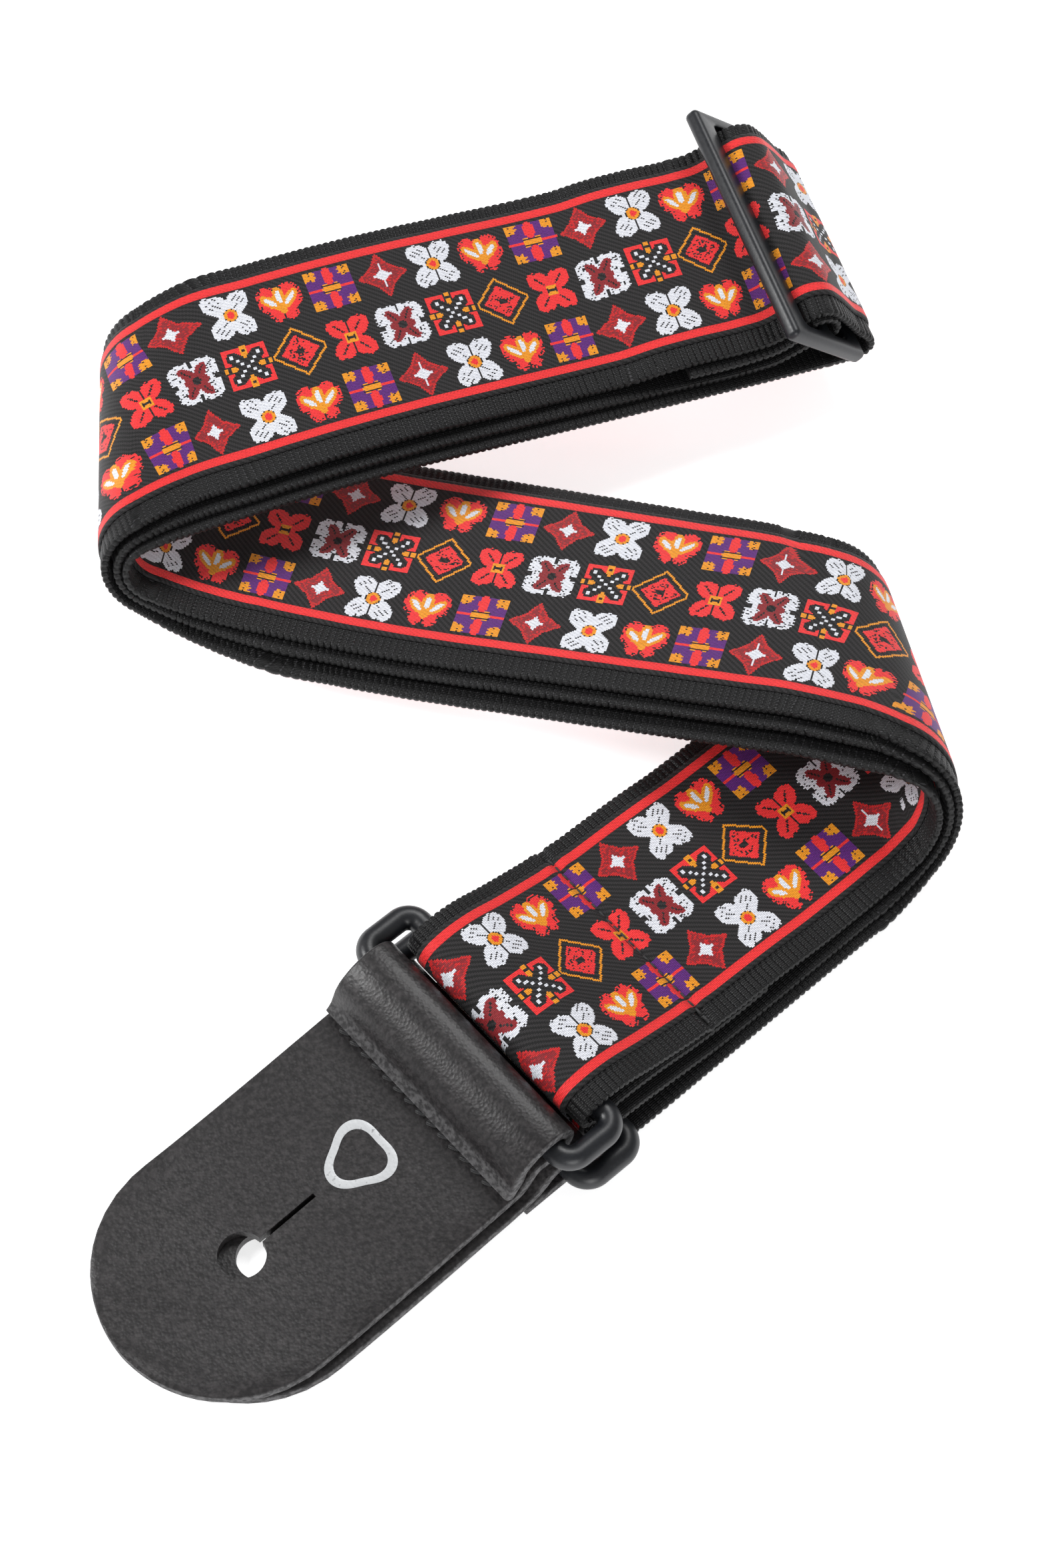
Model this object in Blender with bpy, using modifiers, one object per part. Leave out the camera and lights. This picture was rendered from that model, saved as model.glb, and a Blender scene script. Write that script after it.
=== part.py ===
"""Folded guitar strap: patterned webbing, two leather ends on plastic loops and a sliding tri-glide buckle.

World metres, +Z up. The strap lies on the ground in three runs joined by two folds, three layers deep.
"""

import math

import bmesh
import bpy
from mathutils import Matrix, Vector

MM = 0.001
# Layout of the folded strap on the ground, millimetres and degrees.
LAYOUT_X, LAYOUT_Y, LAYOUT_Z = 0.13, -8.6, -0.15
AZ_BOTTOM, AZ_MID, AZ_TOP = 41.5, -15.2, 20.2
BOTTOM_POINT = (34.8, -25.0)
MID_POINT = (17.5, 34.8)
TOP_POINT = (-14.1, 94.2)
FOLD_R_POINT = (63.4, 13.0)
FOLD_L_POINT = (-53.9, 77.7)
# Cloth section.
WEB_NEAR, WEB_FAR = -25.6, 24.2
RIBBON_HALF = 21.1
WEB_T, RIBBON_T, GAP, END_GAP = 1.5, 0.4, 0.3, 0.12
LAYER_PITCH = 2.5
CLOTH_T = WEB_T + GAP + RIBBON_T
# Heights of the middle layer.
Z_BOTTOM, Z_MID_LEFT = 4.0, 6.9
# Fold profiles: (degrees turned, radius).
FOLD_R_ARCS = ((20.0, 22.0), (149.0, 7.6), (20.0, 18.0))
FOLD_L_ARCS = ((24.0, 60.0), (138.0, 7.4), (18.0, 30.0))
MID_SLOPE, MID_BEND_R, MID_FLAT, MID_LEN = 9.0, 220.0, 4.0, 112.0
TOP_LEVEL, TOP_DROP, TOP_BEND_R = 14.0, 7.0, 300.0
# Sideways lean of the middle and top runs, far edge up.
MID_LEAN, TOP_LEAN = -7.0, 3.0
# Sideways stagger of each layer in each run.
STAGGER = {
    "a": {"bottom": 0.0, "mid": -5.2, "top": 0.0},
    "b2": {"bottom": -1.8, "mid": -2.2, "top": -2.3},
    "b1": {"bottom": -3.6, "mid": 0.0, "top": -4.4},
}
LAYER_H = {"a": LAYER_PITCH, "b2": 0.0, "b1": -LAYER_PITCH}
# Loops, leather and buckle.
BAR_R = 2.4
LOOP_SPACING, LOOP_INNER = 12.2, 54.0
LOOP_B_SHIFT = 2.9
BAR_A_FROM_ANCHOR = -49.2
LEATHER_T, LEATHER_W, LEATHER_LEN = 2.4, 52.0, 83.0
HOLE_R, HOLE_FROM_BAR, SLIT_LEN, SLIT_W = 4.6, 54.3, 13.0, 0.9
STEP_FROM_BAR = 10.0
LEATHER_B_SIDE = -1.6
SLIDER_X, SLIDER_LIFT, SLIDER_TILT = 74.0, 8.3, -40.0
SLIDER_LEN, SLIDER_WIDE, SLIDER_T, SLIDER_SIDE = 24.6, 59.0, 3.4, -2.3
SLIDER_BAR, SLIDER_MID_BAR, SLOT_WIDE = 5.0, 3.0, 52.6
CUT_FROM_BUCKLE = 44.0

UP = Vector((0, 0, 1))


def clearScene():
    for obj in list(bpy.data.objects):
        bpy.data.objects.remove(obj, do_unlink=True)
    for mesh in list(bpy.data.meshes):
        bpy.data.meshes.remove(mesh)
    for coll in list(bpy.data.collections):
        bpy.data.collections.remove(coll)


def horizontal(azimuth):
    a = math.radians(azimuth)
    return Vector((math.cos(a), math.sin(a), 0))


def finish(obj, name, color, rough, origin=None):
    """Name, material, collection and origin of one finished node."""
    obj.name = name
    obj.data.name = name
    mat = bpy.data.materials.new(name + "_mat")
    mat.use_nodes = True
    bsdf = mat.node_tree.nodes["Principled BSDF"]
    bsdf.inputs["Base Color"].default_value = (*color, 1)
    bsdf.inputs["Roughness"].default_value = rough
    mat.diffuse_color = (*color, 1)
    obj.data.materials.clear()
    obj.data.materials.append(mat)
    coll = bpy.data.collections.new(name)
    bpy.context.scene.collection.children.link(coll)
    for c in list(obj.users_collection):
        c.objects.unlink(obj)
    coll.objects.link(obj)
    shift = Vector((LAYOUT_X, LAYOUT_Y, LAYOUT_Z)) * MM
    obj.data.transform(Matrix.Translation(shift))
    if origin is not None:
        at = origin * MM + shift
        obj.data.transform(Matrix.Translation(-at))
        obj.location = at
    return obj


def newMesh(bm, name):
    bmesh.ops.recalc_face_normals(bm, faces=bm.faces)
    mesh = bpy.data.meshes.new(name)
    bm.to_mesh(mesh)
    bm.free()
    obj = bpy.data.objects.new(name, mesh)
    bpy.context.scene.collection.objects.link(obj)
    return obj


def loft(rings):
    """Closed body through rings of points, capped at both ends, with the same diagonals above and below."""
    bm = bmesh.new()
    rows = [[bm.verts.new(p * MM) for p in ring] for ring in rings]
    n = len(rows[0])
    for a, b in zip(rows, rows[1:]):
        for i in range(n):
            j = (i + 1) % n
            if i == 2:
                bm.faces.new((a[i], a[j], b[i]))
                bm.faces.new((a[j], b[j], b[i]))
            else:
                bm.faces.new((a[i], a[j], b[j]))
                bm.faces.new((a[i], b[j], b[i]))
    bm.faces.new(rows[0][::-1])
    bm.faces.new(rows[-1])
    return newMesh(bm, "loft")


class Rule:
    """One straight ruling of the strap: a line across it, with the outward normal of the path."""

    def __init__(self, at, across, normal, shift, widen):
        self.at, self.across, self.normal = at, across, normal
        self.shift, self.widen = shift, widen

    def point(self, v, h):
        return self.at + self.across * (self.shift + v * self.widen) + self.normal * h

    def ring(self, v0, v1, h0, h1):
        return [self.point(v0, h0), self.point(v1, h0), self.point(v1, h1), self.point(v0, h1)]


def arcPoints(arcs, q, z, heading, turn, step=12.0):
    """Profile points (q, z, heading, length) along circular arcs, first point included."""
    out = [(q, z, heading, 0.0)]
    length = 0.0
    for degrees, radius in arcs:
        parts = max(1, math.ceil(degrees / step))
        for _ in range(parts):
            da = math.radians(degrees / parts) * turn
            ds = abs(da) * radius
            h = math.radians(heading) + da / 2
            chord = 2 * radius * math.sin(abs(da) / 2)
            q += chord * math.cos(h)
            z += chord * math.sin(h)
            heading += math.degrees(da)
            length += ds
            out.append((q, z, heading, length))
    return out


class Crease:
    """A family of parallel rulings: a point on the ground and the level direction square to the rulings."""

    def __init__(self, point, azimuth):
        self.at = Vector((*point, 0))
        self.b = horizontal(azimuth)
        self.t = horizontal(azimuth + 90)
        self.azimuth = azimuth

    def rule(self, q, z, heading, shift, runAz, lean=0.0):
        """The ruling leans by so many degrees, far end up; its place in plan stays."""
        a, k = math.radians(heading), math.radians(lean)
        path = self.b * math.cos(a) + UP * math.sin(a)
        across = self.t * math.cos(k) + UP * math.sin(k)
        normal = path.cross(across).normalized()
        widen = 1 / math.cos(math.radians(runAz - self.azimuth))
        at = self.at + self.b * q + UP * z + self.t * shift - across * shift
        return Rule(at, across, normal, shift, widen)

    def shiftAt(self, q, point, runAz, stagger):
        rel = Vector((*point, 0)) - self.at
        beta = math.radians(runAz - self.azimuth)
        return rel.dot(self.t) + (q - rel.dot(self.b)) * math.tan(beta) + stagger / math.cos(beta)


creaseR = Crease(FOLD_R_POINT, (AZ_BOTTOM + AZ_MID) / 2)
creaseL = Crease(FOLD_L_POINT, (AZ_TOP + AZ_MID) / 2)
dirBottom, sideBottom = horizontal(AZ_BOTTOM), horizontal(AZ_BOTTOM + 90)
foldR = arcPoints(FOLD_R_ARCS, 0, Z_BOTTOM, 0, 1)
foldL = arcPoints(FOLD_L_ARCS, 0, Z_MID_LEFT, 180, -1)
barA = Vector((*BOTTOM_POINT, 0)) + dirBottom * BAR_A_FROM_ANCHOR


def foldRules(crease, prof, before, after):
    (p0, az0, st0, k0), (p1, az1, st1, k1) = before, after
    c0 = crease.shiftAt(prof[0][0], p0, az0, st0)
    c1 = crease.shiftAt(prof[-1][0], p1, az1, st1)
    out = []
    for q, z, a, s in prof:
        u = s / prof[-1][3]
        out.append(crease.rule(q, z, a, c0 + (c1 - c0) * u, az1, k0 + (k1 - k0) * u))
    return out


def runFoldR(layer):
    st = STAGGER[layer]
    return foldRules(creaseR, foldR, (BOTTOM_POINT, AZ_BOTTOM, st["bottom"], 0.0),
                     (MID_POINT, AZ_MID, st["mid"], MID_LEAN * 1.9))


def runFoldL(layer):
    st = STAGGER[layer]
    return foldRules(creaseL, foldL, (MID_POINT, AZ_MID, st["mid"], MID_LEAN),
                     (TOP_POINT, AZ_TOP, st["top"], TOP_LEAN))


def runMid(layer):
    """From the right fold, down the slope, round the gentle bend and level to the left fold."""
    st = STAGGER[layer]["mid"]
    first = runFoldR(layer)[-1]
    out = [first]
    slope = math.radians(MID_SLOPE)
    bend = MID_BEND_R * math.sin(slope)
    for k in range(9):
        q = MID_FLAT + (MID_LEN - MID_FLAT) * (1 - k / 9) - 9 * (1 - k / 9)
        a = min(slope, math.asin(min(1.0, (q - MID_FLAT) / MID_BEND_R)))
        z = Z_MID_LEFT + MID_BEND_R * (1 - math.cos(a)) + max(0.0, q - MID_FLAT - bend) * math.tan(slope)
        shift = creaseL.shiftAt(q, MID_POINT, AZ_MID, st)
        lean = MID_LEAN * (1 + q / MID_LEN)
        out.append(creaseL.rule(q, z, 180 + math.degrees(a), shift, AZ_MID, lean))
    out.append(runFoldL(layer)[0])
    return out


topStart = foldL[-1]
topArc = arcPoints(((TOP_DROP, TOP_BEND_R),), topStart[0] + TOP_LEVEL, topStart[1], 0, -1, 2.0)


def endFrame():
    """Frame of the straight sloping end of the top run: origin, along, across, normal."""
    q, z, heading, _ = topArc[-1]
    a = math.radians(heading)
    b3 = creaseL.b * math.cos(a) + UP * math.sin(a)
    normal = creaseL.b * -math.sin(a) + UP * math.cos(a)
    beta = math.atan(math.cos(a) * math.tan(math.radians(AZ_TOP - creaseL.azimuth)))
    along = b3 * math.cos(beta) + creaseL.t * math.sin(beta)
    across = normal.cross(along)
    shift = creaseL.shiftAt(q, TOP_POINT, AZ_TOP, 0)
    origin = creaseL.at + creaseL.b * q + UP * z + creaseL.t * shift
    return origin + along * SLIDER_X, along, across, normal


endAt, endAlong, endAcross, endNormal = endFrame()


def endRule(x, y, slope, side):
    """Ruling square to the strap in the buckle frame; slope is the path direction in degrees."""
    a = math.radians(slope)
    normal = endAlong * -math.sin(a) + endNormal * math.cos(a)
    return Rule(endAt + endAlong * x + endNormal * y, endAcross, normal, side, 1)


def runTop(layer):
    st = STAGGER[layer]["top"]
    out = [runFoldL(layer)[-1]]
    q0, q1 = topStart[0], topArc[-1][0]
    for q, z, heading, _ in topArc:
        lean = TOP_LEAN * (1 - (q - q0) / (q1 - q0))
        out.append(creaseL.rule(q, z, heading, creaseL.shiftAt(q, TOP_POINT, AZ_TOP, st), AZ_TOP, lean))
    out.append(endRule(-CUT_FROM_BUCKLE, 0, 0, st))
    return out


def smoothPath(points, per=4):
    """Smooth curve through 2-D points, as (x, y, direction in degrees)."""
    pts = [Vector(p) for p in points]
    pts = [pts[0] * 2 - pts[1]] + pts + [pts[-1] * 2 - pts[-2]]

    def velocity(a, b, c):
        d0, d1 = (b - a).length, (c - b).length
        return ((b - a) * (d1 / d0) + (c - b) * (d0 / d1)) / (d0 + d1)

    out = []
    for i in range(1, len(pts) - 2):
        p0, p1, p2, p3 = pts[i - 1 : i + 3]
        m1, m2 = velocity(p0, p1, p2) * (p2 - p1).length, velocity(p1, p2, p3) * (p2 - p1).length
        for k in range(per + (i == len(pts) - 3)):
            u = k / per
            pos = (2 * u**3 - 3 * u**2 + 1) * p1 + (u**3 - 2 * u**2 + u) * m1
            pos += (-2 * u**3 + 3 * u**2) * p2 + (u**3 - u**2) * m2
            d = (6 * u**2 - 6 * u) * (p1 - p2) + (3 * u**2 - 4 * u + 1) * m1 + (3 * u**2 - 2 * u) * m2
            out.append((pos.x, pos.y, math.degrees(math.atan2(d.y, d.x))))
    return out


# Path of the outer layer through the buckle and round the far turn, millimetres from the buckle.
TURN_PATH = (
    (-44, 2.5), (-40, 3.0), (-33, 4.6), (-24, 5.5), (-14, 6.0), (-9.9, 6.9), (-7.0, 8.9), (-4.7, 12.1),
    (-1.5, 14.5), (2.1, 14.2), (5.1, 11.4), (7.6, 8.2), (9.8, 5.3), (11.8, 3.4), (13.2, 1.3), (13.2, -0.9),
    (11.6, -2.3), (8.5, -2.6), (4, -2.5), (-10, -2.5), (-44, -2.5),
)
# Path of the sewn end round the buckle's middle bar.
END_PATH = (
    (-44, 0.0), (-30, 0.0), (-14, 0.1), (-8, 1.0), (-4.6, 2.9), (-1.3, 4.7), (1.3, 4.9), (3.1, 6.5), (3.6, 8.9),
    (2.6, 10.9), (0.0, 11.95), (-2.3, 11.0), (-3.5, 9.1), (-5.1, 6.6), (-8, 4.6), (-14, 3.3), (-28, 2.7),
)


def pathRules(path, sideStart, sideEnd, per=3):
    pts = smoothPath(path, per)
    n = len(pts) - 1
    return [endRule(x, y, s, sideStart + (sideEnd - sideStart) * i / n) for i, (x, y, s) in enumerate(pts)]


def bottomRule(x, z, slope, side):
    """Ruling square to the bottom run, x along it from the upper loop's bar."""
    a = math.radians(slope)
    normal = dirBottom * -math.sin(a) + UP * math.cos(a)
    return Rule(barA + dirBottom * x + UP * z, sideBottom, normal, side, 1)


BOTTOM_FLAT = 66.0
Z_A = Z_BOTTOM + LAYER_PITCH
Z_B1 = Z_BOTTOM - LAYER_PITCH
WRAP_R = BAR_R + GAP + CLOTH_T / 2
BAR_B_Z = Z_B1 + WRAP_R
TAIL_Z = BAR_B_Z + WRAP_R + LAYER_PITCH
BAR_A_Z = TAIL_Z + WRAP_R


def polyRules(points, side):
    out = []
    for x, z, s in smoothPath(points, 3):
        out.append(bottomRule(x, z, s, side))
    return out


def wrapPoints(cx, cz, start, stop, n):
    out = []
    for i in range(n + 1):
        a = math.radians(start + (stop - start) * i / n)
        out.append((cx + WRAP_R * math.cos(a), cz + WRAP_R * math.sin(a)))
    return out


def runBottomA():
    """Tail under the bar, round the upper loop's bar, along the bottom run to the right fold."""
    pts = [(43, Z_A + 0.1), (36, Z_A + 0.25), (26, Z_A + 1.2), (14, TAIL_Z - 1.0), (6, TAIL_Z - 0.1)]
    pts += wrapPoints(0, BAR_A_Z, 270, 90, 8)
    pts += [(6, BAR_A_Z + WRAP_R - 0.6), (13, BAR_A_Z + WRAP_R - 3.4), (22, Z_A + 6.2), (31, Z_A + 3.6),
            (41, Z_A + 2.7), (50, Z_A + 1.7), (58, Z_A + 0.4), (BOTTOM_FLAT, Z_A)]
    return polyRules(pts, STAGGER["a"]["bottom"])


def runBottomB():
    """Lowest layer from the right fold round the lower loop's bar and back as the middle layer."""
    s = LOOP_B_SHIFT
    pts = [(BOTTOM_FLAT, Z_B1), (40, Z_B1), (12, Z_B1)] + wrapPoints(s, BAR_B_Z, 270, 90, 8)
    pts += [(s + 7, BAR_B_Z + WRAP_R - 0.9), (s + 16, Z_BOTTOM + 2.4), (s + 26, Z_BOTTOM + 0.5),
            (s + 36, Z_BOTTOM), (BOTTOM_FLAT, Z_BOTTOM)]
    low, high = STAGGER["b1"]["bottom"], STAGGER["b2"]["bottom"]
    rules = polyRules(pts, low)
    for i, r in enumerate(rules):
        u = min(max((i - 6) / 30, 0), 1)
        r.shift = low + (high - low) * u
    return rules


WEB = {+1: (-CLOTH_T / 2, -CLOTH_T / 2 + WEB_T), -1: (CLOTH_T / 2 - WEB_T, CLOTH_T / 2)}
RIB = {+1: (CLOTH_T / 2 - RIBBON_T, CLOTH_T / 2), -1: (-CLOTH_T / 2, -CLOTH_T / 2 + RIBBON_T)}


def cloth(label, rules, side, ribbonRules=None):
    """Webbing and ribbon bodies through the same rulings; side tells where the ribbon is."""
    h0, h1 = WEB[side]
    body = loft([r.ring(WEB_NEAR, WEB_FAR, h0, h1) for r in trimmed(rules)])
    finish(body, "webbing_" + label, (0.012, 0.012, 0.013), 0.8)
    h0, h1 = RIB[side]
    body = loft([r.ring(-RIBBON_HALF, RIBBON_HALF, h0, h1) for r in trimmed(ribbonRules or rules)])
    finish(body, "ribbon_" + label, (0.30, 0.03, 0.03), 0.7)


def trimmed(rules):
    """Both ends drawn back a little, so that neighbouring pieces do not touch."""
    out = list(rules)
    for i, sign in ((0, 1), (-1, -1)):
        r = rules[i]
        path = r.across.cross(r.normal)
        out[i] = Rule(r.at + path * (sign * END_GAP), r.across, r.normal, r.shift, r.widen)
    return out


RIBBON_SIDE = {"a": 1, "b2": 1, "b1": -1}


def toOffset(rules, offset):
    """The same rulings moved out along their normals."""
    return [Rule(r.at + r.normal * offset, r.across, r.normal, r.shift, r.widen) for r in rules]


def buildStrap():
    for layer in ("a", "b2", "b1"):
        h, side = LAYER_H[layer], RIBBON_SIDE[layer]
        cloth(layer + "_fold_right", toOffset(runFoldR(layer), h), side)
        cloth(layer + "_middle", toOffset(runMid(layer), h), side)
        cloth(layer + "_fold_left", toOffset(runFoldL(layer), h), side)
        cloth(layer + "_top", toOffset(runTop(layer), h), side)
    st = STAGGER
    turn = pathRules(TURN_PATH, st["a"]["top"], st["b1"]["top"])
    cloth("turn", turn, 1)
    end = pathRules(END_PATH, st["b2"]["top"], st["b2"]["top"])
    cloth("b2_end", end, 1, ribbonRules=end[:5])
    lastA = toOffset(runFoldR("a"), LAYER_PITCH)[0]
    cloth("a_bottom", runBottomA() + [lastA], 1)
    firstB = flip(toOffset(runFoldR("b1"), -LAYER_PITCH)[0])
    lastB = runFoldR("b2")[0]
    cloth("b_bottom", [firstB] + runBottomB() + [lastB], 1)


def flip(r):
    """The same ruling for a path that runs the other way."""
    return Rule(r.at, r.across, -r.normal, r.shift, r.widen)


LEATHER_R = BAR_R + GAP + LEATHER_T / 2
LEATHER_BOTTOM = 0.3 + LEATHER_T / 2
LEFT_B_Z = LEATHER_BOTTOM + LEATHER_R
LEATHER_STEP = LEATHER_T + GAP
LEFT_A_Z = LEFT_B_Z + LEATHER_R + LEATHER_STEP + LEATHER_R


def loopBar(spaced, z, shift):
    """Centre line of one of a loop's long bars."""
    return barA + dirBottom * (shift - spaced) + UP * z


def leatherRule(x, z, slope, bar, side):
    """Ruling of a leather end, x away from its bar towards the tip, slope of the path in degrees."""
    a = math.radians(slope)
    normal = dirBottom * -math.sin(a) + UP * math.cos(a)
    at = Vector((bar.x, bar.y, 0)) - dirBottom * x + UP * z
    return Rule(at, sideBottom, normal, side, 1)


def tipHalf(x):
    """Half width of the leather at a distance from the bar, rounded at the tip."""
    half = LEATHER_W / 2
    over = x - (LEATHER_LEN - half)
    return half if over <= 0 else math.sqrt(max(half * half - over * over, 0.6))


def leatherPath(upper):
    """Base from the tip to the bar, round it and back as the flap, as (x, z) in the leather's frame."""
    lift = LEATHER_STEP if upper else 0.0
    low = LEATHER_BOTTOM + lift
    half = LEATHER_W / 2
    tip = [LEATHER_LEN - half + half * math.sin(math.radians(a)) for a in (89.3, 84, 76, 66, 54, 40, 22, 6)]
    barZ = LEFT_A_Z if upper else LEFT_B_Z
    sign = -1 if upper else 1
    pts = [(x, low) for x in tip] + [(50, low + 0.05), (40, low + 0.5), (30, low + 1.2), (20, low + 2.1)]
    pts += [(12.6, low + 2.75), (8, low + (3.4 if upper else 4.2)), (4, barZ + sign * (LEATHER_R - 0.35))]
    for i in range(9):
        a = math.radians(-90 * sign * -1 + (180 * sign * -1) * i / 8)
        pts.append((-LEATHER_R * math.cos(a), barZ + LEATHER_R * math.sin(a)))
    if upper:
        pts += [(3.5, barZ + LEATHER_R - 0.5), (7.5, barZ + 0.7), (10.4, low + 6.2), (STEP_FROM_BAR + 1.1, low + 5.5)]
    else:
        pts += [(4, LEATHER_BOTTOM), (8, LEATHER_BOTTOM), (STEP_FROM_BAR + 1.1, LEATHER_BOTTOM)]
    return pts


def leatherEnd(name, upper):
    bar = loopBar(LOOP_SPACING, 0, 0 if upper else LOOP_B_SHIFT)
    side = 0.0 if upper else LEATHER_B_SIDE
    pts = leatherPath(upper)
    base = pts[:15]
    rest = pts[14:]
    rings = []
    for i, (x, z, s) in enumerate(smoothPath(base, 1) + smoothPath(rest, 2)[1:]):
        r = leatherRule(x, z, 180 - s, bar, side)
        w = tipHalf(x) if i < 15 else LEATHER_W / 2
        rings.append(r.ring(-w, w, -LEATHER_T / 2, LEATHER_T / 2))
    body = loft(rings)
    bar0 = Vector((bar.x, bar.y, 0))
    hole = bar0 - dirBottom * HOLE_FROM_BAR + sideBottom * side + UP * 4
    cut(body, cylinder(hole, HOLE_R, 30), name + "_hole")
    slit = bar0 - dirBottom * (HOLE_FROM_BAR - HOLE_R - SLIT_LEN / 2 + 0.5) + sideBottom * side + UP * 4
    cut(body, block(slit, (SLIT_LEN + 1, SLIT_W, 30), AZ_BOTTOM), name + "_slit")
    z = LEFT_A_Z if upper else LEFT_B_Z
    return finish(body, name, (0.022, 0.021, 0.022), 0.55, bar + UP * z)


def cylinder(at, radius, height, sides=24):
    bm = bmesh.new()
    bmesh.ops.create_cone(bm, cap_ends=True, segments=sides, radius1=radius * MM, radius2=radius * MM,
                          depth=height * MM)
    obj = newMesh(bm, "cutter")
    obj.data.transform(Matrix.Translation(at * MM))
    return obj


def block(at, size, azimuth, turn=None):
    bm = bmesh.new()
    bmesh.ops.create_cube(bm, size=1)
    obj = newMesh(bm, "block")
    obj.data.transform(Matrix.Diagonal((*[c * MM for c in size], 1)))
    obj.data.transform(turn or Matrix.Rotation(math.radians(azimuth), 4, "Z"))
    obj.data.transform(Matrix.Translation(at * MM))
    return obj


def cut(body, cutter, name):
    """Exact difference kept as a modifier; the cutter goes to its own collection."""
    cutter.name = name + "_cutter"
    shift = Vector((LAYOUT_X, LAYOUT_Y, LAYOUT_Z)) * MM
    cutter.data.transform(Matrix.Translation(shift))
    cutter.hide_render = True
    cutter.display_type = "WIRE"
    coll = bpy.data.collections.get("cutters")
    if coll is None:
        coll = bpy.data.collections.new("cutters")
        bpy.context.scene.collection.children.link(coll)
    for c in list(cutter.users_collection):
        c.objects.unlink(cutter)
    coll.objects.link(cutter)
    mod = body.modifiers.new(name, "BOOLEAN")
    mod.operation = "DIFFERENCE"
    mod.solver = "EXACT"
    mod.object = cutter


def buildLoop(name, upper):
    """Oval ring of round bar: two long bars joined by rounded ends."""
    shift = 0 if upper else LOOP_B_SHIFT
    right = loopBar(0, BAR_A_Z if upper else BAR_B_Z, shift)
    left = loopBar(LOOP_SPACING, LEFT_A_Z if upper else LEFT_B_Z, shift)
    side = -0.3 if upper else -2.2
    mid, along = (right + left) / 2 + sideBottom * side, (right - left).normalized()
    normal = along.cross(sideBottom).normalized()
    hx, hy, r = LOOP_SPACING / 2, LOOP_INNER / 2 + BAR_R, 3.2
    rings = []
    for cx, cy, a0 in ((1, 1, 0), (-1, 1, 90), (-1, -1, 180), (1, -1, 270)):
        for k in range(5):
            a = math.radians(a0 + 90 * k / 4)
            p = mid + along * (cx * (hx - r) + r * math.cos(a)) + sideBottom * (cy * (hy - r) + r * math.sin(a))
            out = along * math.cos(a) + sideBottom * math.sin(a)
            rings.append([p + (out * math.cos(b) + normal * math.sin(b)) * BAR_R
                          for b in [2 * math.pi * i / 12 for i in range(12)]])
    bm = bmesh.new()
    rows = [[bm.verts.new(p * MM) for p in ring] for ring in rings]
    for a, b in zip(rows, rows[1:] + rows[:1]):
        for i in range(12):
            bm.faces.new((a[i], a[(i + 1) % 12], b[(i + 1) % 12], b[i]))
    return finish(newMesh(bm, name), name, (0.014, 0.014, 0.015), 0.35, right)


def buildSlider():
    """Flat frame of three bars with two slots, leaning over the strap."""
    tilt = math.radians(SLIDER_TILT)
    a = endAlong * math.cos(tilt) + endNormal * math.sin(tilt)
    n = a.cross(endAcross)
    turn = Matrix((a, endAcross, n)).transposed().to_4x4()
    at = endAt + endNormal * SLIDER_LIFT + endAcross * SLIDER_SIDE
    body = block(at, (SLIDER_LEN, SLIDER_WIDE, SLIDER_T), 0, turn)
    bevel = body.modifiers.new("rounded", "BEVEL")
    bevel.width = 1.1 * MM
    bevel.segments = 3
    slot = (SLIDER_LEN - 2 * SLIDER_BAR - SLIDER_MID_BAR) / 2
    for k, sign in (("left", -1), ("right", 1)):
        c = at + a * (sign * (SLIDER_MID_BAR + slot) / 2)
        cut(body, block(c, (slot, SLOT_WIDE, 20), 0, turn), "slider_" + k + "_slot")
    return finish(body, "slider", (0.02, 0.02, 0.023), 0.4)


def threadAcross(name, rules, side0, side1, h):
    """A sewn row as one slim bar laid across the strap or leather."""
    return finish(loft([r.ring(side0, side1, h, h + 0.35) for r in rules]), name, (0.01, 0.01, 0.01), 0.7)


def leatherAt(x, upper):
    """Ruling of the base leather at a distance from its bar."""
    bar = loopBar(LOOP_SPACING, 0, 0 if upper else LOOP_B_SHIFT)
    pts = sorted(leatherPath(upper)[:15])
    for (x0, z0), (x1, z1) in zip(pts, pts[1:]):
        if x0 <= x <= x1:
            z = z0 + (z1 - z0) * (x - x0) / (x1 - x0)
            return leatherRule(x, z, math.degrees(math.atan2(z1 - z0, x1 - x0)) * -1, bar,
                               0.0 if upper else LEATHER_B_SIDE)
    raise ValueError(x)


def buildMark():
    """Foil plectrum outline lying on the upper leather end."""
    outer, inner = [], []
    for i in range(36):
        a = 2 * math.pi * i / 36
        r = 6.6 * (1 + 0.13 * math.cos(3 * a))
        for ring, scale in ((outer, 1.0), (inner, 0.72)):
            x, v = r * scale * math.cos(a), r * scale * math.sin(a)
            ring.append((25.6 + x, v))
    bm = bmesh.new()
    rows = []
    for ring, h in ((outer, 0.25), (outer, 0.4), (inner, 0.4), (inner, 0.25)):
        rows.append([bm.verts.new(leatherAt(x, True).point(v, LEATHER_T / 2 + h) * MM) for x, v in ring])
    for a, b in zip(rows, rows[1:] + rows[:1]):
        for i in range(36):
            j = (i + 1) % 36
            bm.faces.new((a[i], a[j], b[j], b[i]))
    return finish(newMesh(bm, "mark"), "foil_mark", (0.7, 0.7, 0.72), 0.3)


def buildTrim():
    seam = [bottomRule(*p) for p in seamPoints()]
    threadAcross("strap_seam", seam, -24.0, 22.6, CLOTH_T / 2 + 0.25)
    x = STEP_FROM_BAR + 2.6
    for name, upper in (("leather_a_stitches", True), ("leather_b_stitches", False)):
        rows = [leatherAt(x + d, upper) for d in (0.0, 0.8)]
        h = LEATHER_T / 2 + 0.25 if upper else -LEATHER_T / 2 - 0.6
        threadAcross(name, rows, -20.0, 20.0, h)


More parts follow.
